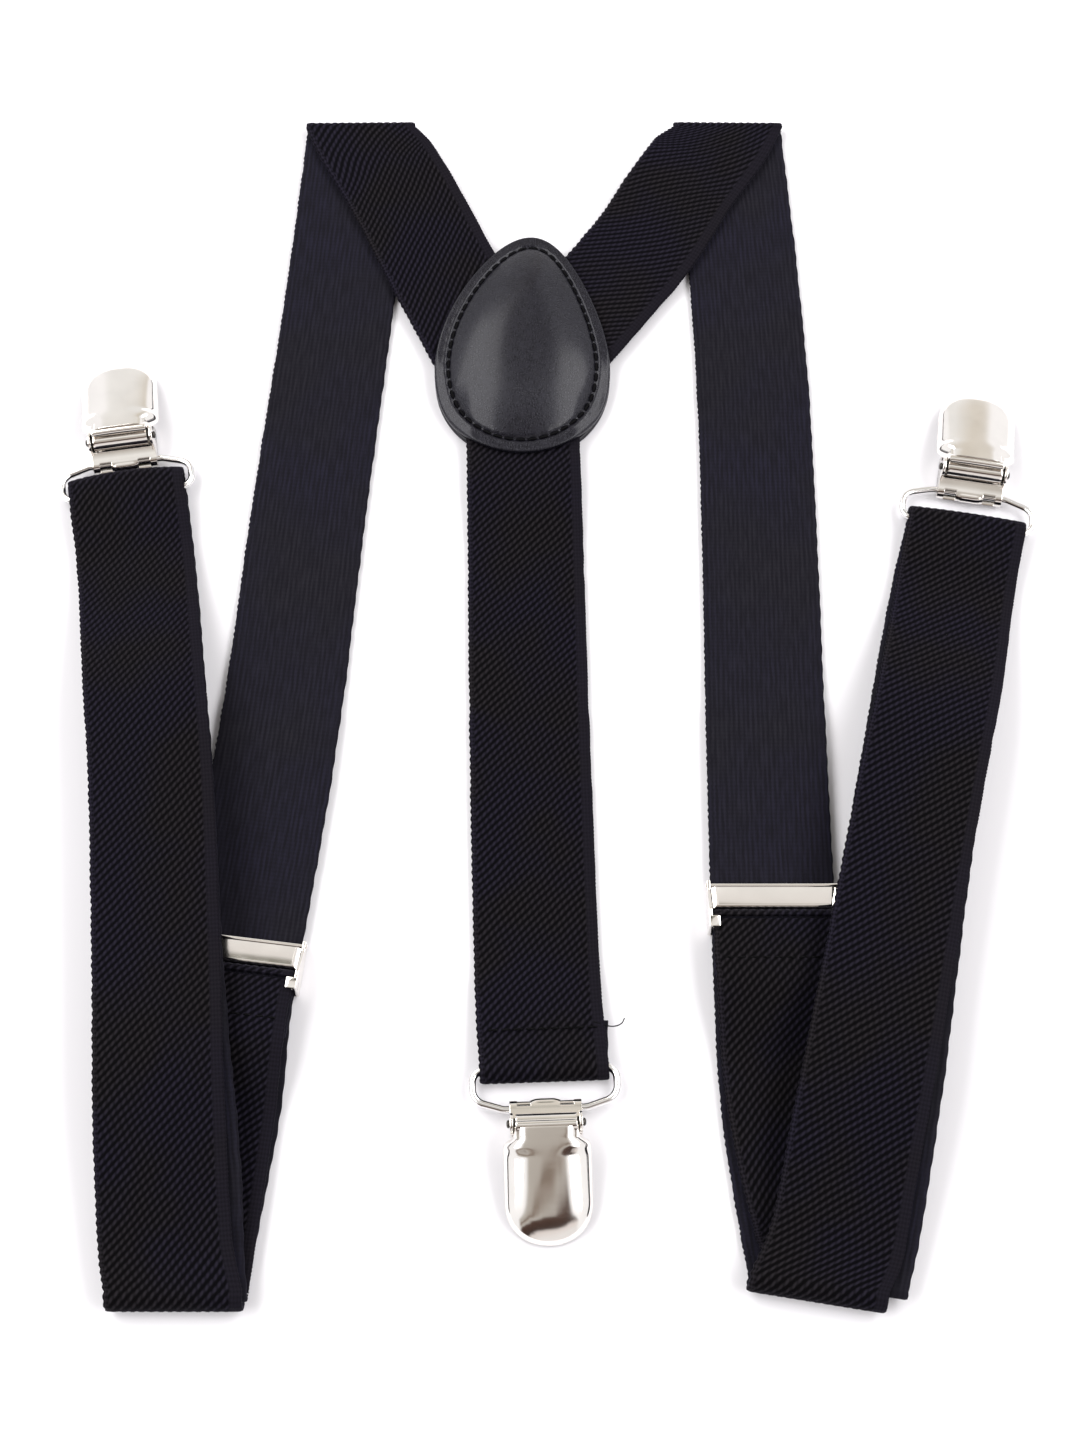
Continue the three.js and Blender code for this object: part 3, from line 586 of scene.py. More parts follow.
def ribbon(name, sections, start_at=0.0):
    """A closed band of webbing along the sections, with its ribs and edges as geometry. Returns the piece
    and how far along the whole strap it ends."""
    half = WEBBING.half_width
    left, right, bow = sections[:, :3], sections[:, 3:6], sections[:, 6:]
    centre = (left + right) / 2
    side = (right - left) / (2 * half)
    steps = np.linalg.norm(np.diff(centre, axis=0), axis=1)
    along = start_at + np.concatenate([[0], np.cumsum(steps)])
    heading = unit(np.gradient(centre, along + 1e-9 * np.arange(len(along)), axis=0))
    normal = unit(np.cross(side, heading))
    knots = np.arange(0, along[-1] + 4, 3.1)
    uneven = np.interp(along, knots, rng.normal(0, 0.05, len(knots)))
    rib_wave = np.cos(2 * np.pi * (along + WEBBING.rib_slope * half) / WEBBING.rib_pitch)
    pick_wave = np.cos(2 * np.pi * along / WEBBING.tooth_pitch)
    left_edge = WEBBING.scallop * rib_wave + uneven
    right_edge = WEBBING.scallop * 0.55 * pick_wave + uneven

    face_columns = np.concatenate([[-0.995], np.linspace(-0.965, 0.965, 47), [0.995]]) * half
    back_columns = np.concatenate([[0.99], np.linspace(0.95, -0.95, 15), [-0.99]]) * half
    across = np.concatenate([face_columns, [half], back_columns, [-half]])
    columns = len(across)
    is_face = np.arange(columns) < len(face_columns)
    is_edge = np.isin(np.arange(columns), [len(face_columns), columns - 1])
    inset = half - np.abs(across)
    rounding = np.sqrt(np.clip(inset / 0.55, 0, 1)) * 0.45 + 0.55
    level = np.where(is_edge, 0.0, np.where(is_face, 1, -1) * WEBBING.half_thickness * rounding)
    bulge = 1 - (across / half) ** 2

    phase = (along[:, None] - WEBBING.rib_slope * across[None]) / WEBBING.rib_pitch
    rib = 0.5 - 0.5 * np.cos(2 * np.pi * phase)
    plain = np.maximum(smooth(*RIGHT_PLAIN, across), smooth(*LEFT_PLAIN, across))
    depth = WEBBING.rib_depth * (rib * (1 - plain) + 0.35 * plain)
    rise = np.where(is_face, level + 0.4 * WEBBING.rib_depth - depth, level)
    margin = smooth(1.6, 0.2, inset)
    shove = margin * np.where(across < 0, -left_edge[:, None], right_edge[:, None])
    points = (
        centre[:, None]
        + side[:, None] * (across + shove)[:, :, None]
        + bow[:, None] * bulge[:, None]
        + normal[:, None] * rise[:, :, None]
    )
    points, faces = skin(points)
    face_slot = np.where(np.arange(columns) < len(face_columns), 0, 1)
    face_slot[-1] = 0
    slots = np.concatenate([np.tile(face_slot, len(along) - 1), [1, 1]])
    uv = np.stack([np.repeat(along, columns), np.tile(across, len(along))], 1)
    outward = [face[::-1] for face in faces]
    return make_piece(name, points * MM, outward, [FACE, BACK], slots, uv, 60), along[-1]


def high_and_low(node):
    """Mid heights of the upper and lower layer of a folded CAD piece of webbing."""
    low, high = box_mm(node)
    return high[2] - WEBBING.half_thickness, low[2] + WEBBING.half_thickness


def level_section(place, y, z, shift=0.0):
    """A section straight across a clip's or adjuster's own frame."""
    rows = []
    for x in (-WEBBING.half_width, WEBBING.half_width):
        point = place @ Vector(((x + shift) * MM, y * MM, 0))
        rows += [point.x / MM, point.y / MM, z]
    return np.array(rows + [0.0, 0.0, 0.0])


patch_low, patch_high = (np.array(corner[:2]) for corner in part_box("patch_back"))
PATCH_CENTRE = (patch_low + patch_high) / 2 / MM
PATCH_HALF = (patch_high - patch_low) / 2 / MM


def shoulder_sections(side):
    """Sections from a shoulder fold to the patch, and on under its leather."""
    low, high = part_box(f"{side}_shoulder_fold")
    top = np.array([(low.x + high.x) / 2, high.y]) / MM
    heading = unit(top - PATCH_CENTRE)
    rows = sections_of(f"{side}_shoulder_run", (PATCH_CENTRE + heading * 14, heading))
    inward = unit(rows[-1] - rows[-2])
    return np.vstack([rows, rows[-1] + inward * PATCH.hidden_end * math.sqrt(2)])


def square_end(sections):
    """Keeps the webbing's own width where a run meets its fold at a slant."""
    limit = WEBBING.half_width + 0.35
    rows = sections.copy()
    for row in rows:
        half = (row[3:6] - row[:3]) / 2
        middle = (row[3:6] + row[:3]) / 2
        length = float(np.linalg.norm(half))
        if length > limit:
            half = half * (limit / length)
            row[:3], row[3:6] = middle - half, middle + half
    return rows


def bowed(sections, end, bow):
    """A run whose end bulges along its own direction by bow in the middle of its width."""
    rows = sections.copy()
    nearest = rows[end]
    across = unit(nearest[3:5] - nearest[:2])
    rows[end, 6:8] = np.array([-across[1], across[0]]) * bow
    return rows


def side_strap(side):
    """One strap in two ribbons: from the patch to the last fold before the adjuster, and from there to its
    hem. Returns its length."""
    shoulder = square_end(shoulder_sections(side)[::-1])
    front = square_end(sections_of(f"{side}_front_run"))
    upper = sections_of(f"{side}_clip_run_upper")[::-1]
    lower = sections_of(f"{side}_clip_run_lower")
    back = sections_of(f"{side}_return_run")[::-1]
    slack, bow = CLIP_TURN[side]
    up, down = (0, 1), (0, -1)
    path = np.vstack([
        resampled(shoulder, FINE_STEP),
        fold(up, shoulder[-1], front[0], GAP),
        resampled(front, COARSE_STEP),
        fold(down, front[-1], upper[0], GAP, 20),
        resampled(bowed(upper, -1, bow), FINE_STEP),
        fold(up, upper[-1], lower[0], GAP + slack, 18, bow),
        resampled(bowed(lower, 0, bow), COARSE_STEP),
        fold(down, lower[-1], back[0], GAP),
    ])
    strap, length = ribbon(f"{side}_strap", path)
    runs = ("shoulder_run", "shoulder_fold", "front_run", "outer_fold", "clip_run_upper", "clip_fold",
            "clip_run_lower", "inner_fold")
    tie(strap, "straps", "webbing", *[f"{side}_{run}" for run in runs])

    place = local_frame(f"{side}_lever_hinge", -1)
    high, low = high_and_low(f"{side}_return_hem")
    turn_at, tail = ADJUSTER.hem
    top = level_section(place, turn_at, high)
    bottom = level_section(place, turn_at, low)
    path = np.vstack([
        resampled(np.vstack([back, level_section(place, turn_at - 9, high), top]), FINE_STEP),
        fold(place.col[1][:2], top, bottom),
        resampled(np.vstack([bottom, level_section(place, tail, low)]), COARSE_STEP),
    ])
    rest, total = ribbon(f"{side}_return_strap", path, start_at=length)
    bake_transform(rest)
    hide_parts(f"{side}_return_run", f"{side}_return_hem")
    return total


def back_strap():
    """The strap down the back, from its hem round the wire to the patch. Returns its length."""
    place = local_frame("back_wire_swivel")
    flipped = place @ Matrix.Rotation(math.pi, 4, "Z")
    run = sections_of("back_strap_run")[::-1]
    _, low = high_and_low("back_strap_hem")
    tail = level_section(flipped, 9.2, low, 0.35)
    turn = level_section(flipped, 0.0, low, 0.1)
    path = np.vstack([
        resampled(np.vstack([tail, turn]), COARSE_STEP),
        fold(place.col[1][:2], turn, run[0], GAP, 18),
        resampled(run, FINE_STEP),
    ])
    strap, length = ribbon("back_strap", path)
    tie(strap, "straps", "webbing", "back_strap_run", "back_strap_hem")
    return length


# ---- Leather patch ----
def egg(angle, inset):
    """Plan points of the patch's outline, moved in by inset."""
    half = PATCH_HALF[1] - inset
    wide = EGG_HALF - inset
    rise = np.sin(angle)
    x = wide * np.cos(angle) * (1 - PATCH.egg * rise) + PATCH.lean * np.maximum(rise, 0) ** 2
    return np.stack([PATCH_CENTRE[0] + x, PATCH_CENTRE[1] + half * rise], -1)


def egg_half_width():
    """The egg's half width before its ends are made unequal, from the patch's real width."""
    angle = np.linspace(0, 2 * np.pi, 720)
    return PATCH_HALF[0] / np.max(np.cos(angle) * (1 - PATCH.egg * np.sin(angle)))


EGG_HALF = egg_half_width()


def either(one, other):
    """The union of two shares between 0 and 1, without the crease that a maximum leaves."""
    return 1 - (1 - one) * (1 - other)


def over_straps(points):
    """1 where a plan point lies over one of the straps, falling to 0 beside them."""
    raised = np.zeros(len(points))
    rel = points - PATCH_CENTRE
    runs = [sections_of("back_strap_run")[:6]] + [shoulder_sections(side)[-5:] for side in SIDES]
    for rows in runs:
        middle = (rows[:, :2] + rows[:, 3:5]) / 2
        axis = unit(middle[0] - middle[-1])
        line = middle.mean(0) - PATCH_CENTRE
        off = np.abs((rel - line) @ np.array([-axis[1], axis[0]]))
        ahead = smooth(-6, 4, rel @ unit(line))
        raised = either(raised, (1 - smooth(10.5, 17.5, off)) * ahead)
    return either(raised, smooth(4, 14, rel[:, 1]))


def leather_level(plan, inset, levels):
    """The height of the leather before it is padded. levels are those of the rim beside the straps, and of
    the leather over them."""
    beside, over = levels
    return beside + (over - beside) * either(over_straps(plan), smooth(3.4, 12.5, inset))


def egg_piece(name, rows, low, high, material):
    """A closed skin over rows of points, with one more point in the middle of its first and last row."""
    count = len(rows[0])
    faces = grid_faces(len(rows), count, around=True).tolist()
    start, hub = (len(rows) - 1) * count, len(rows) * count
    for j in range(count):
        faces.append([hub, (j + 1) % count, j])
        faces.append([hub + 1, start + j, start + (j + 1) % count])
    return make_piece(name, np.vstack([*rows, [low, high]]) * MM, faces, [material], sharp=70)


def leather_patch():
    """The padded front leather, which rises over the straps under it, with its seam and its backing."""
    low, _ = box_mm("patch_front")
    _, backing_top = box_mm("patch_back")
    levels = (backing_top[2] + 0.25 + PATCH.leather, low[2] + PATCH.leather)
    seam = egg(np.linspace(0, 2 * np.pi, 400), PATCH.seam)
    perimeter = np.linalg.norm(np.diff(seam, axis=0), axis=1).sum()
    even = even_angles(int(round(perimeter / PATCH.stitch_pitch)) * PER_STITCH)
    stitch = 0.5 - 0.5 * np.cos(2 * np.pi * np.arange(len(even)) / PER_STITCH)
    insets = np.concatenate([[0, 0.0, 0.08, 0.25, 0.5, 0.9, 1.3], np.arange(1.6, 6.0, 0.22),
                             np.arange(6.0, EGG_HALF - 1.5, 0.7)])
    lip = np.concatenate([[-PATCH.leather, -0.4, -0.15, -0.03], np.zeros(len(insets) - 4)])
    under = []
    for inset in (9.0, 4.0, 1.5):
        plan = egg(even, inset)
        under.append(np.column_stack([plan, leather_level(plan, inset, levels) - PATCH.leather]))
    rows = []
    for inset, drop in zip(insets, lip):
        plan = egg(even, inset)
        past_seam = inset - PATCH.seam
        groove = np.exp(-((past_seam / 0.42) ** 2))
        ridge = np.exp(-(((past_seam + 0.85) / 0.4) ** 2))
        pucker = np.exp(-(((past_seam - 0.8) / 0.5) ** 2))
        deep = np.clip((inset - PATCH.border + 0.4) / (EGG_HALF - PATCH.border), 0, 1)
        share = (1 - (1 - deep) ** 2.1) ** 0.92
        swell = 0.10 * np.sin(3 * even + 0.8) * smooth(3.5, 8, inset)
        z = leather_level(plan, inset, levels) + drop - groove * (0.34 + 0.16 * stitch)
        z = z - pucker * 0.03 * stitch + ridge * (0.10 - 0.05 * stitch)
        z = z + PATCH.crown * share + swell * (1 - share)
        rows.append(np.column_stack([plan, z]))
    low_hub = [*PATCH_CENTRE, under[0][0, 2]]
    high_hub = [*PATCH_CENTRE, rows[-1][:, 2].mean() + 0.01]
    front = egg_piece("patch_leather", under + rows, low_hub, high_hub, LEATHER)
    tie(front, "straps", "leather", "patch_front")
    backing(even)
    stitch_ring(even, levels)


def backing(even):
    """The flat leather on the underside, with worn round edges."""
    _, high = box_mm("patch_back")
    top = high[2]
    shape = [(9.0, 0.0), (0.5, 0.0), (0.15, 0.1), (0.0, 0.3), (0.0, top - 0.3), (0.15, top - 0.1),
             (0.5, top), (9.0, top)]
    rows = [np.column_stack([egg(even, inset), np.full(len(even), z)]) for inset, z in shape]
    piece = egg_piece("patch_backing", rows, [*PATCH_CENTRE, 0.0], [*PATCH_CENTRE, top], BACKING)
    tie(piece, "straps", "leather", "patch_back")


def even_angles(count):
    """Angles that step evenly along the seam."""
    angle = np.linspace(0, 2 * np.pi, 2001)
    walk = egg(angle, PATCH.seam)
    length = np.concatenate([[0], np.cumsum(np.linalg.norm(np.diff(walk, axis=0), axis=1))])
    return np.interp(np.linspace(0, length[-1], count, endpoint=False), length, angle)


def stitch_bead(start, end, rise, radius):
    """One stitch: a thread that comes up out of its hole, lies flat and goes down again."""
    t = np.linspace(0, 1, 9)[:, None]
    path = start * (1 - t) + end * t
    path[:, 2] += rise * (1 - (2 * t[:, 0] - 1) ** 4)
    width = radius * np.clip(1.15 - 0.45 * np.abs(2 * t[:, 0] - 1) ** 3, 0.3, 1)
    return tube(path, width, sides=8)


def stitch_ring(even, levels):
    """The ring of stitches, which lies in the groove along the seam."""
    beside, over = levels
    plan = egg(even, PATCH.seam)
    holes = np.column_stack([plan, beside + (over - beside) * over_straps(plan) - 0.42])
    beads = [stitch_bead(holes[i + 1], holes[i + 7], 0.24, 0.3) for i in range(0, len(holes), PER_STITCH)]
    points, faces = joined(beads)
    piece = make_piece("patch_stitches", points * MM, faces, [THREAD])
    tie(piece, "straps", "thread", "patch_stitching")


def stray_thread():
    """A loose end of sewing thread that curls out from the back strap's seam."""
    low, high = box_mm("back_hem_stitching")
    start = np.array([high[0] - 1.0, high[1] + 1.0, low[2] - 0.7])
    steps = [(0, 0, 0), (1.6, -0.5, 0.1), (3.2, -0.9, -0.2), (4.8, -0.8, -0.7), (6.0, -0.1, -1.2),
             (6.5, 0.9, -1.5)]
    points, faces = tube(spline(start + np.array(steps), 0.2), 0.12, sides=8)
    tie(make_piece("stray_thread", points * MM, faces, [THREAD]), "straps", "thread")


def stitch_row(name, place, y, z, body, node):
    """A row of stitches straight across a strap's end."""
    reach, pitch = WEBBING.half_width - 1.6, 2.3
    count = int(2 * reach / pitch)
    beads = []
    for i in range(count):
        x = -reach + (i + 0.5) * 2 * reach / count
        wave = 0.05 * math.sin(5.1 * i)
        start, end = np.array([x - 0.8, y + wave, z]), np.array([x + 0.8, y - wave, z])
        beads.append(stitch_bead(start, end, 0.22, 0.2))
    put(make_piece(name, *joined(beads), [THREAD]), place, body, "thread", node)


# ---- Clips ----
def wire_loop(name, place):
    """A closed loop of round wire: its straight rear bar holds the strap, its front bar the clip."""
    bar_y, bar_z = CLIP.bar
    half = rounded([(0, 0, 0), (13.85, 0, 2.2), (13.75, 5.7, 3.0), (7.9, bar_y, 2.5), (0, bar_y, 0)], 0.3)
    outline = np.vstack([half, (half[1:-1] * [-1, 1])[::-1]])
    rear = joints[f"{name}_wire_swivel"]["pos_m"][2] / MM
    path = np.column_stack([outline, rear + (bar_z - rear) * outline[:, 1] / bar_y])
    loop = tube(path, CLIP.wire_radius, closed=True, sides=20)
    piece = make_piece(f"{name}_wire", *loop, [WIRE_WITH_PAINTED_SHADE], sharp=60)
    put(piece, place, f"{name}_wire", "steel_wire", f"{name}_wire_loop")


def clip_base(name, place):
    """One stamped sheet: jaw, ears, and the curl with its tongue and two slots round the wire."""
    bar_y, bar_z = CLIP.bar
    turn = CLIP.wire_radius + GAP + CLIP.sheet / 2
    wide = CLIP.ear + 0.3
    nose = CLIP.jaw_end - CLIP.nose

    def half_at(y):
        if y > nose:
            return max(CLIP.jaw_half * math.sqrt(max(1 - ((y - nose) / CLIP.nose) ** 2, 0.0)), 0.25)
        return CLIP.jaw_half + (wide - CLIP.jaw_half) * float(smooth(16.4, 15.4, y) if y > 15.4 else 1)

    jaw_y = np.concatenate([nose + CLIP.nose * np.cos(np.linspace(0.04, np.pi / 2, 16)),
                            np.linspace(24.4, 17.0, 12), np.linspace(16.6, 15.2, 8),
                            np.linspace(14.6, bar_y, 12)])
    profile = [(y, bar_z - turn, half_at(y), 270.0) for y in jaw_y]
    for angle in np.linspace(264, 100, 29):
        y = bar_y + turn * math.cos(math.radians(angle))
        profile.append((y, bar_z + turn * math.sin(math.radians(angle)), wide, angle))
    y0, z0 = profile[-1][:2]
    slope = math.radians(10)
    for k in range(1, 8):
        rise = math.sin(slope) * 2.5 * k / 7 + 0.25 * (k / 7) ** 2
        profile.append((y0 + math.cos(slope) * 2.5 * k / 7, z0 + rise, wide, 100.0))
    y, z, half, angles = (np.array(column)[:, None] for column in zip(*profile))
    across = half * np.linspace(-1, 1, 69)
    curl = np.arange(len(profile))[:, None] >= len(jaw_y)
    tongue = np.exp(-((across / 2.4) ** 6)) * np.exp(-(((angles - 160) / 32) ** 4)) * curl
    tongue = CLIP.tongue * tongue
    heading = np.radians(angles)
    grid = np.stack([across, y + tongue * np.cos(heading), z + tongue * np.sin(heading)], -1)
    slot_middle, slot_half = CLIP.slot
    in_slot = np.abs(np.abs((across[1:, 1:] + across[1:, :-1]) / 2) - slot_middle) < slot_half
    middle = (angles[1:] + angles[:-1]) / 2
    in_curl = curl[1:] & (middle > 101) & (middle < 200)
    faces = grid_faces(*across.shape, keep=~(in_slot & in_curl))
    used, renumbered = np.unique(faces, return_inverse=True)
    points = grid.reshape(-1, 3)[used]
    strip = sheet_metal(f"{name}_strip", points, renumbered.reshape(-1, 4), CLIP.sheet, 0.1)
    pin_y, pin_z = CLIP.pin
    head = [(pin_y + CLIP.ear_radius * math.cos(a), pin_z + CLIP.ear_radius * math.sin(a))
            for a in np.radians(np.linspace(-25, 195, 24))]
    foot = [(pin_y - 2.35, 3.4), (pin_y - 2.5, 0.5), (pin_y - 2.3, 0.32), (pin_y + 4.4, 0.32),
            (pin_y + 4.7, 0.6), (pin_y + 4.5, 1.7), (pin_y + 3.2, 2.9)]
    ears = flat_pair(f"{name}_ear", [(CLIP.ear, *corner) for corner in head + foot], CLIP.sheet, 0.13)
    piece = joined_nickel(f"{name}_base", [strip, *ears])
    put(piece, place, f"{name}_clip", "nickel", f"{name}_clip_base")


def cover_place(place):
    """The cover's own frame: its hinge at the origin and its rim in the plane z = 0."""
    pin = Vector((0, CLIP.pin[0] * MM, CLIP.pin[1] * MM))
    return place @ Matrix.Translation(pin) @ Matrix.Rotation(-math.radians(CLIP.cover_slope), 4, "X")


def cover_shell():
    """The domed skin: a box-like neck between the ears that swells into a broad rounded nose."""
    length = CLIP.cover_length
    ahead = np.concatenate([
        np.linspace(0.35, 2.2, 8), np.linspace(2.35, 4.6, 16), np.linspace(5.0, 14.0, 22),
        14.4 + (length - 14.4) * np.sin(np.linspace(0, np.pi / 2, 26)),
    ])
    columns = np.linspace(-1, 1, 73)
    angle = columns * np.pi / 2
    rows = []
    for y in ahead:
        full = CLIP.neck_half - 0.05 + (CLIP.cover_half - CLIP.neck_half) * float(smooth(2.2, 4.4, y))
        tip = max(0.0, (y - (length - 7.8)) / 7.8)
        half = full * max(1 - tip**2.35, 0.0) ** (1 / 2.1)
        front = max(0.0, (y - (length - 5.6)) / 5.6)
        crown = 3.15 - 0.25 * y / length - 1.0 * (y / length) ** 2
        crown *= max(1 - front**2.6, 0.0) ** 0.5
        rounder = float(smooth(1.5, 6.0, y))
        x = np.sign(columns) * np.abs(np.sin(angle)) ** (2 / (7.0 - 4.2 * rounder))
        z = np.abs(np.cos(angle)) ** (2 / (2.0 - 0.35 * rounder))
        rows.append(np.column_stack([np.maximum(half, 0.02) * x, np.full(len(x), y),
                                     np.maximum(crown, 0.02) * z]))
    return np.vstack(rows), grid_faces(len(ahead), len(columns))


def clip_cover(name, place):
    """The cover: its domed skin, and the sheet's rear end rolled down into a cam round the pin."""
    points, faces = cover_shell()
    shell = sheet_metal(f"{name}_shell", points, faces[:, ::-1], 0.55, 0.1, offset=-1.0, sharp=55)
    cam = 1.6
    arc = [(cam * math.cos(a), cam * math.sin(a)) for a in np.radians(np.linspace(142, 325, 12))]
    profile = spline([(2.6, 2.72), (1.5, 2.78), (0.8, 2.86), (0.35, 3.02), (-0.15, 3.02), (-0.5, 2.76),
                      (-0.5, 2.4), (0.0, 2.15), (0.45, 1.95), (0.45, 1.6), (0.0, 1.42), (-0.75, 1.35),
                      *arc], 0.14)
    columns = np.linspace(-1, 1, 25) * (CLIP.neck_half - 0.1)
    grid = [(x, y, z + 0.12 * (1 - (x / 5.8) ** 2) * float(smooth(1.6, 2.6, z)))
            for y, z in profile for x in columns]
    roll = sheet_metal(f"{name}_roll", grid, grid_faces(len(profile), len(columns)), 0.5, 0.1)
    piece = joined_nickel(f"{name}_cover", [shell, roll])
    put(piece, cover_place(place), f"{name}_cover", "nickel", f"{name}_clip_cover")


def clip_pin(name, place):
    """A rod with a peened dome at each end."""
    reach, radius = CLIP.pin_reach, CLIP.pin_radius
    dome = [(reach - 0.02, 0.02), (reach - 0.05, 0.40), (reach - 0.18, 0.68), (reach - 0.42, 0.78),
            (reach - 0.6, 0.74), (reach - 0.62, radius)]
    half = [(-x, r) for x, r in dome] + dome[::-1]
    rod = tube([(x, *CLIP.pin) for x, _ in half], [r for _, r in half], sides=20)
    piece = make_piece(f"{name}_pin", *rod, [PIN_PAINTED_DARK], sharp=50)
    put(piece, place, f"{name}_clip", "steel_wire", f"{name}_clip_pin")


def jaw_insert(name, place):
    """The moulded insert that grips the cloth, with a row of ridges across it."""
    rear, front, low, high = 24.2, 29.4, 1.2, 1.8
    half, ridges = 3.6, 5
    pitch = (front - rear) / ridges
    outline = [(rear, low), (front, low), (front, high)]
    for i in range(ridges):
        y = front - i * pitch
        outline += [(y - 0.5 * pitch, high + 0.35), (y - pitch, high)]
    block = skin([[(x, y, z) for y, z in outline] for x in (-half, half)])
    piece = make_piece(f"{name}_insert", *block, [PLASTIC])
    bevelled(piece, 0.1)
    put(piece, place, f"{name}_clip", "jaw_plastic", f"{name}_jaw_insert")


# ---- Adjusters ----
def adjuster_frame(name, place):
    """A channel of sheet metal: front plate, side walls, and a lug folded in at each lower corner."""
    a = ADJUSTER
    bend, mid = 0.5, a.inside + a.plate / 2
    flat = mid - bend
    quarter = bend * math.pi / 2
    floor = a.plate / 2

    def wall_height(y):
        return float(np.interp(y, [a.bottom, a.bottom + 1.6, -7.2, -5.6, -1.2, a.top],
                               [a.wall - 0.3, a.wall, a.wall, a.wall - 0.3, 4.1, 3.9]))

    ys = np.concatenate([[a.bottom], np.linspace(a.bottom + 0.1, a.top - 0.1, 34), [a.top]])
    shares = np.concatenate([np.linspace(-1, -0.62, 14), np.linspace(-0.6, 0.6, 9), np.linspace(0.62, 1, 14)])
    grid = []
    for y in ys:
        for w in shares * (flat + quarter + wall_height(y) - floor - bend):
            past = abs(w) - flat
            if past <= 0:
                grid.append((w, y, floor))
            elif past < quarter:
                grid.append((math.copysign(flat + bend * math.sin(past / bend), w), y,
                             floor + bend * (1 - math.cos(past / bend))))
            else:
                grid.append((math.copysign(mid, w), y, floor + bend + past - quarter))
    channel = sheet_metal(f"{name}_channel", grid, grid_faces(len(ys), len(shares)), a.plate, 0.12)
    outline = rounded([(mid + 0.28, -9.4, 0.2), (mid + 0.28, -7.2, 0.2), (mid - 1.8, -7.2, 0.28),
                       (mid - 1.8, -9.4, 0.28)], 0.12, closed=True)
    lugs = flat_pair(f"{name}_lug", [(x, y, a.wall - 0.3) for x, y in outline], a.plate, 0.14)
    piece = joined_nickel(f"{name}_frame", [channel, *lugs])
    put(piece, place, f"{name}_adjuster", "nickel", f"{name}_adjuster_frame")


def crossbar(name, place):
    """The flat bar that the strap's hem is sewn round."""
    low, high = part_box(f"{name}_adjuster_crossbar")
    middle = (low.z + high.z) / 2 / MM
    outline = rounded([(-0.95, -0.4, 0.3), (0.95, -0.4, 0.3), (0.95, 0.4, 0.3), (-0.95, 0.4, 0.3)], 0.1, True)
    reach = ADJUSTER.inside + ADJUSTER.plate
    ends = [(-reach, 0.8), (-reach + 0.15, 1.0), (reach - 0.15, 1.0), (reach, 0.8)]
    bar = skin([[(x, ADJUSTER.bar_y + k * y, middle + k * z) for y, z in outline] for x, k in ends])
    piece = make_piece(f"{name}_crossbar", *bar, [STEEL])
    put(piece, place, f"{name}_adjuster", "steel_wire", f"{name}_adjuster_crossbar")


def lever(name, place):
    """The toothed lever: a flat panel with sloping rims, a rolled pivot edge and a row of teeth."""
    half, length, teeth = ADJUSTER.lever_half, ADJUSTER.lever_length, ADJUSTER.teeth
    mid = joints[f"{name}_lever_hinge"]["pos_m"][2] / MM
    loops = [
        (half - 0.35, half + 0.05, -length + 0.25, 0.35, mid - 0.4),
        (half - 0.15, half + 0.25, -length, 0.55, mid - 0.12),
        (half - 0.22, half + 0.18, -length + 0.07, 0.48, mid + 0.02),
        (half - 0.85, half - 0.6, -length + 0.6, 0.0, mid + 0.36),
        (half - 1.0, half - 0.75, -length + 0.72, -0.12, mid + 0.38),
        (half - 1.2, half - 0.95, -length + 0.85, -0.28, mid + 0.34),
    ]
    rings = []
    for low_half, high_half, bottom, top, z in loops:
        corners = [(high_half, top), (-high_half, top), (-low_half, bottom), (low_half, bottom)]
        ring = rounded([(*corner, 0.25) for corner in corners], 0.1, closed=True)
        rings.append(np.column_stack([ring, np.full(len(ring), z)]))
    fewest = min(len(ring) for ring in rings)
    reach = ADJUSTER.inside + ADJUSTER.plate + ADJUSTER.stub
    pivot = [(x, 0, mid) for x in (-reach, -reach + 0.1, reach - 0.1, reach)]
    parts = [skin([ring[:fewest] for ring in rings]), tube(pivot, [0.35, 0.5, 0.5, 0.35])]
    pitch = 2 * half / teeth
    for i in range(teeth):
        x = -half + pitch * (i + 0.5)
        base = [(x + dx, dy, mid - 0.3) for dx, dy in ((-0.5, -0.4), (0.5, -0.4), (0.5, 0.35), (-0.5, 0.35))]
        tip = (x, -0.05, mid - 0.62)
        parts.append((base + [tip], [[3, 2, 1, 0], [0, 1, 4], [1, 2, 4], [2, 3, 4], [3, 0, 4]]))
    piece = make_piece(f"{name}_lever", *joined(parts), [NICKEL], sharp=30)
    put(piece, place, f"{name}_lever", "nickel", f"{name}_adjuster_lever")


# ---- Stage ----
def add_floor():
    """A pale table, a little darker round the object, so that its soft shadows show."""
    s = Shader("floor", Roughness=0.9, Specular_IOR_Level=0.0)
    near = s.mix(s.noise(s.place(), 9.0, 1.0), (0.690, 0.684, 0.712), (0.708, 0.702, 0.726))
    away = s.node("VectorMath", {0: s.place()}, operation="LENGTH").outputs["Value"]
    s.set("Base Color", s.mix(s.range(away, 0.25, 0.9), near, (0.97, 0.97, 0.975)))
    size, level = 3.0, -0.2 * MM
    points = [(-size, -size, level), (size, -size, level), (size, size, level), (-size, size, level)]
    make_piece("floor", points, [[0, 1, 2, 3]], [s.material])


def add_light(name, position, size, power):
    """A softbox that points at the middle of the layout."""
    data = bpy.data.lights.new(name, "AREA")
    data.shape = "RECTANGLE"
    data.size, data.size_y = size
    data.energy = power
    data.color = (1.0, 0.99, 0.98)
    light = bpy.data.objects.new(name, data)
    light.location = position
    light.rotation_euler = (-Vector(position)).to_track_quat("-Z", "Y").to_euler()
    bpy.context.scene.collection.objects.link(light)


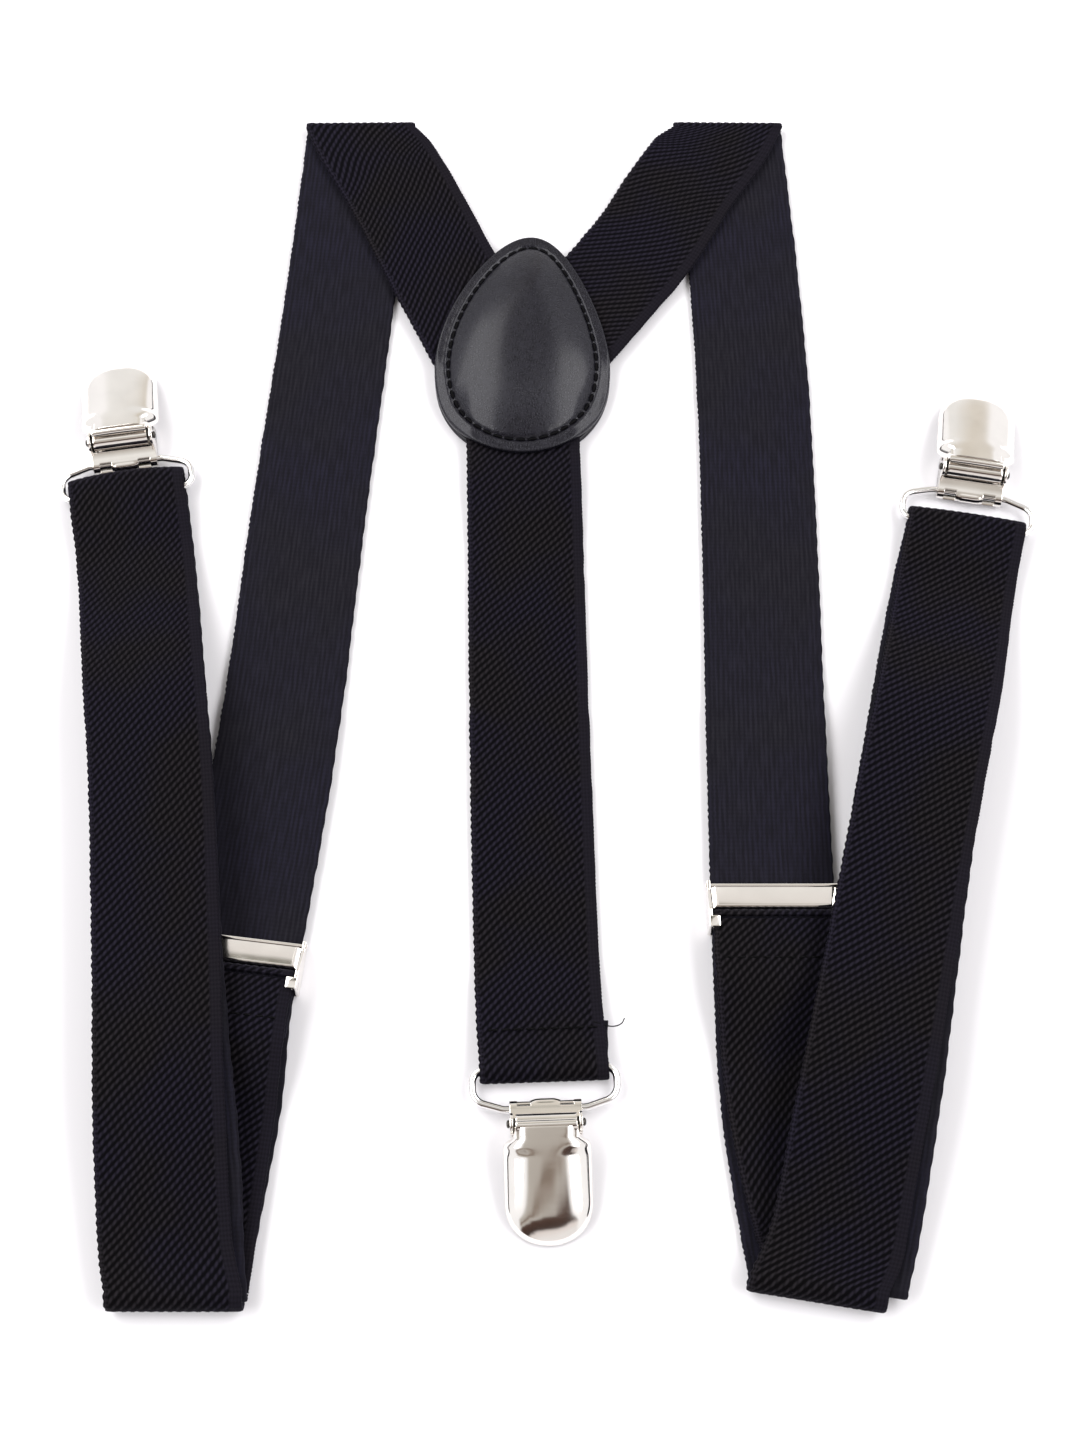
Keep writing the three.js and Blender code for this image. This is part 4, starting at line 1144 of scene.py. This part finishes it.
# What the metal mirrors: a colour for each y of the direction that it comes from.
ROOM = [
    (-0.98, (0.93, 0.90, 0.90)), (-0.84, (0.84, 0.77, 0.75)), (-0.76, (0.06, 0.040, 0.034)),
    (-0.57, (0.09, 0.050, 0.038)), (-0.535, (0.50, 0.46, 0.43)), (-0.505, (0.56, 0.53, 0.49)),
    (-0.475, (0.30, 0.235, 0.195)), (-0.455, (0.22, 0.165, 0.13)), (-0.43, (0.52, 0.48, 0.44)),
    (-0.10, (0.60, 0.56, 0.52)), (0.06, (0.98, 0.97, 0.95)), (0.20, (0.92, 0.895, 0.87)),
    (0.41, (0.86, 0.82, 0.79)), (0.45, (0.30, 0.29, 0.25)), (0.50, (0.24, 0.235, 0.20)),
    (0.58, (0.72, 0.68, 0.62)), (0.80, (0.77, 0.715, 0.64)), (0.98, (0.95, 0.94, 0.93)),
]


def add_world():
    """A pale room with a strip of the tones in ROOM overhead, uneven and askew, and white at both sides."""
    world = bpy.data.worlds.new("studio")
    bpy.context.scene.world = world
    world.use_nodes = True
    n = Nodes(world.node_tree)
    direction = n.node("TexCoord").outputs["Generated"]
    x, y, _ = n.node("SeparateXYZ", {0: direction}).outputs
    uneven = n.scaled(n.noise(direction, 5.0, 4.0, 0.7), 0.12, n.scaled(x, -0.35, y))
    strip = n.node("ValToRGB", {0: n.range(uneven, -0.94, 1.06, shape="LINEAR")})
    elements = strip.color_ramp.elements
    while len(elements) < len(ROOM):
        elements.new(0.5)
    for element, (at, colour) in zip(elements, ROOM):
        element.position = (at + 1) / 2
        element.color = (*colour, 1)
    wider_in_front = n.range(y, -0.46, -0.60, 0.0, 0.30)
    beside = n.range(n.math("SUBTRACT", n.math("ABSOLUTE", x), wider_in_front), 0.27, 0.40)
    background = n.tree.nodes["Background"]
    n.feed(n.mix(beside, strip.outputs[0], (1.10, 1.09, 1.11)), background.inputs["Color"])
    n.feed(0.95, background.inputs["Strength"])


def set_look():
    """Colours as they are, without a film curve."""
    view = bpy.context.scene.view_settings
    view.view_transform = "Standard"
    view.look = "None"
    view.exposure = 0.0


# ---- The object ----
add_world()
add_floor()
add_light("softbox_left", (-0.53, 0.12, 0.70), (1.30, 0.44), 9.0)
add_light("softbox_right", (0.58, 0.04, 0.70), (1.20, 0.40), 8.2)
set_look()

lengths = {side: side_strap(side) for side in SIDES}
lengths["back"] = back_strap()
leather_patch()
for clip in CLIPS:
    where = local_frame(f"{clip}_wire_swivel")
    for build in (wire_loop, clip_base, clip_cover, clip_pin, jaw_insert):
        build(clip, where)
for side in SIDES:
    where = local_frame(f"{side}_lever_hinge", -1)
    for build in (adjuster_frame, crossbar, lever):
        build(side, where)
    hem_top, _ = high_and_low(f"{side}_return_hem")
    stitch_row(f"{side}_return_stitches", where, -15.3, hem_top + 0.45, f"{side}_adjuster",
               f"{side}_return_stitching")
seam_low, _ = box_mm("back_hem_stitching")
stitch_row("back_hem_stitches", local_frame("back_wire_swivel"), -7.5, seam_low[2] - 0.25, "straps",
           "back_hem_stitching")
stray_thread()
print("strap lengths, mm:", lengths)
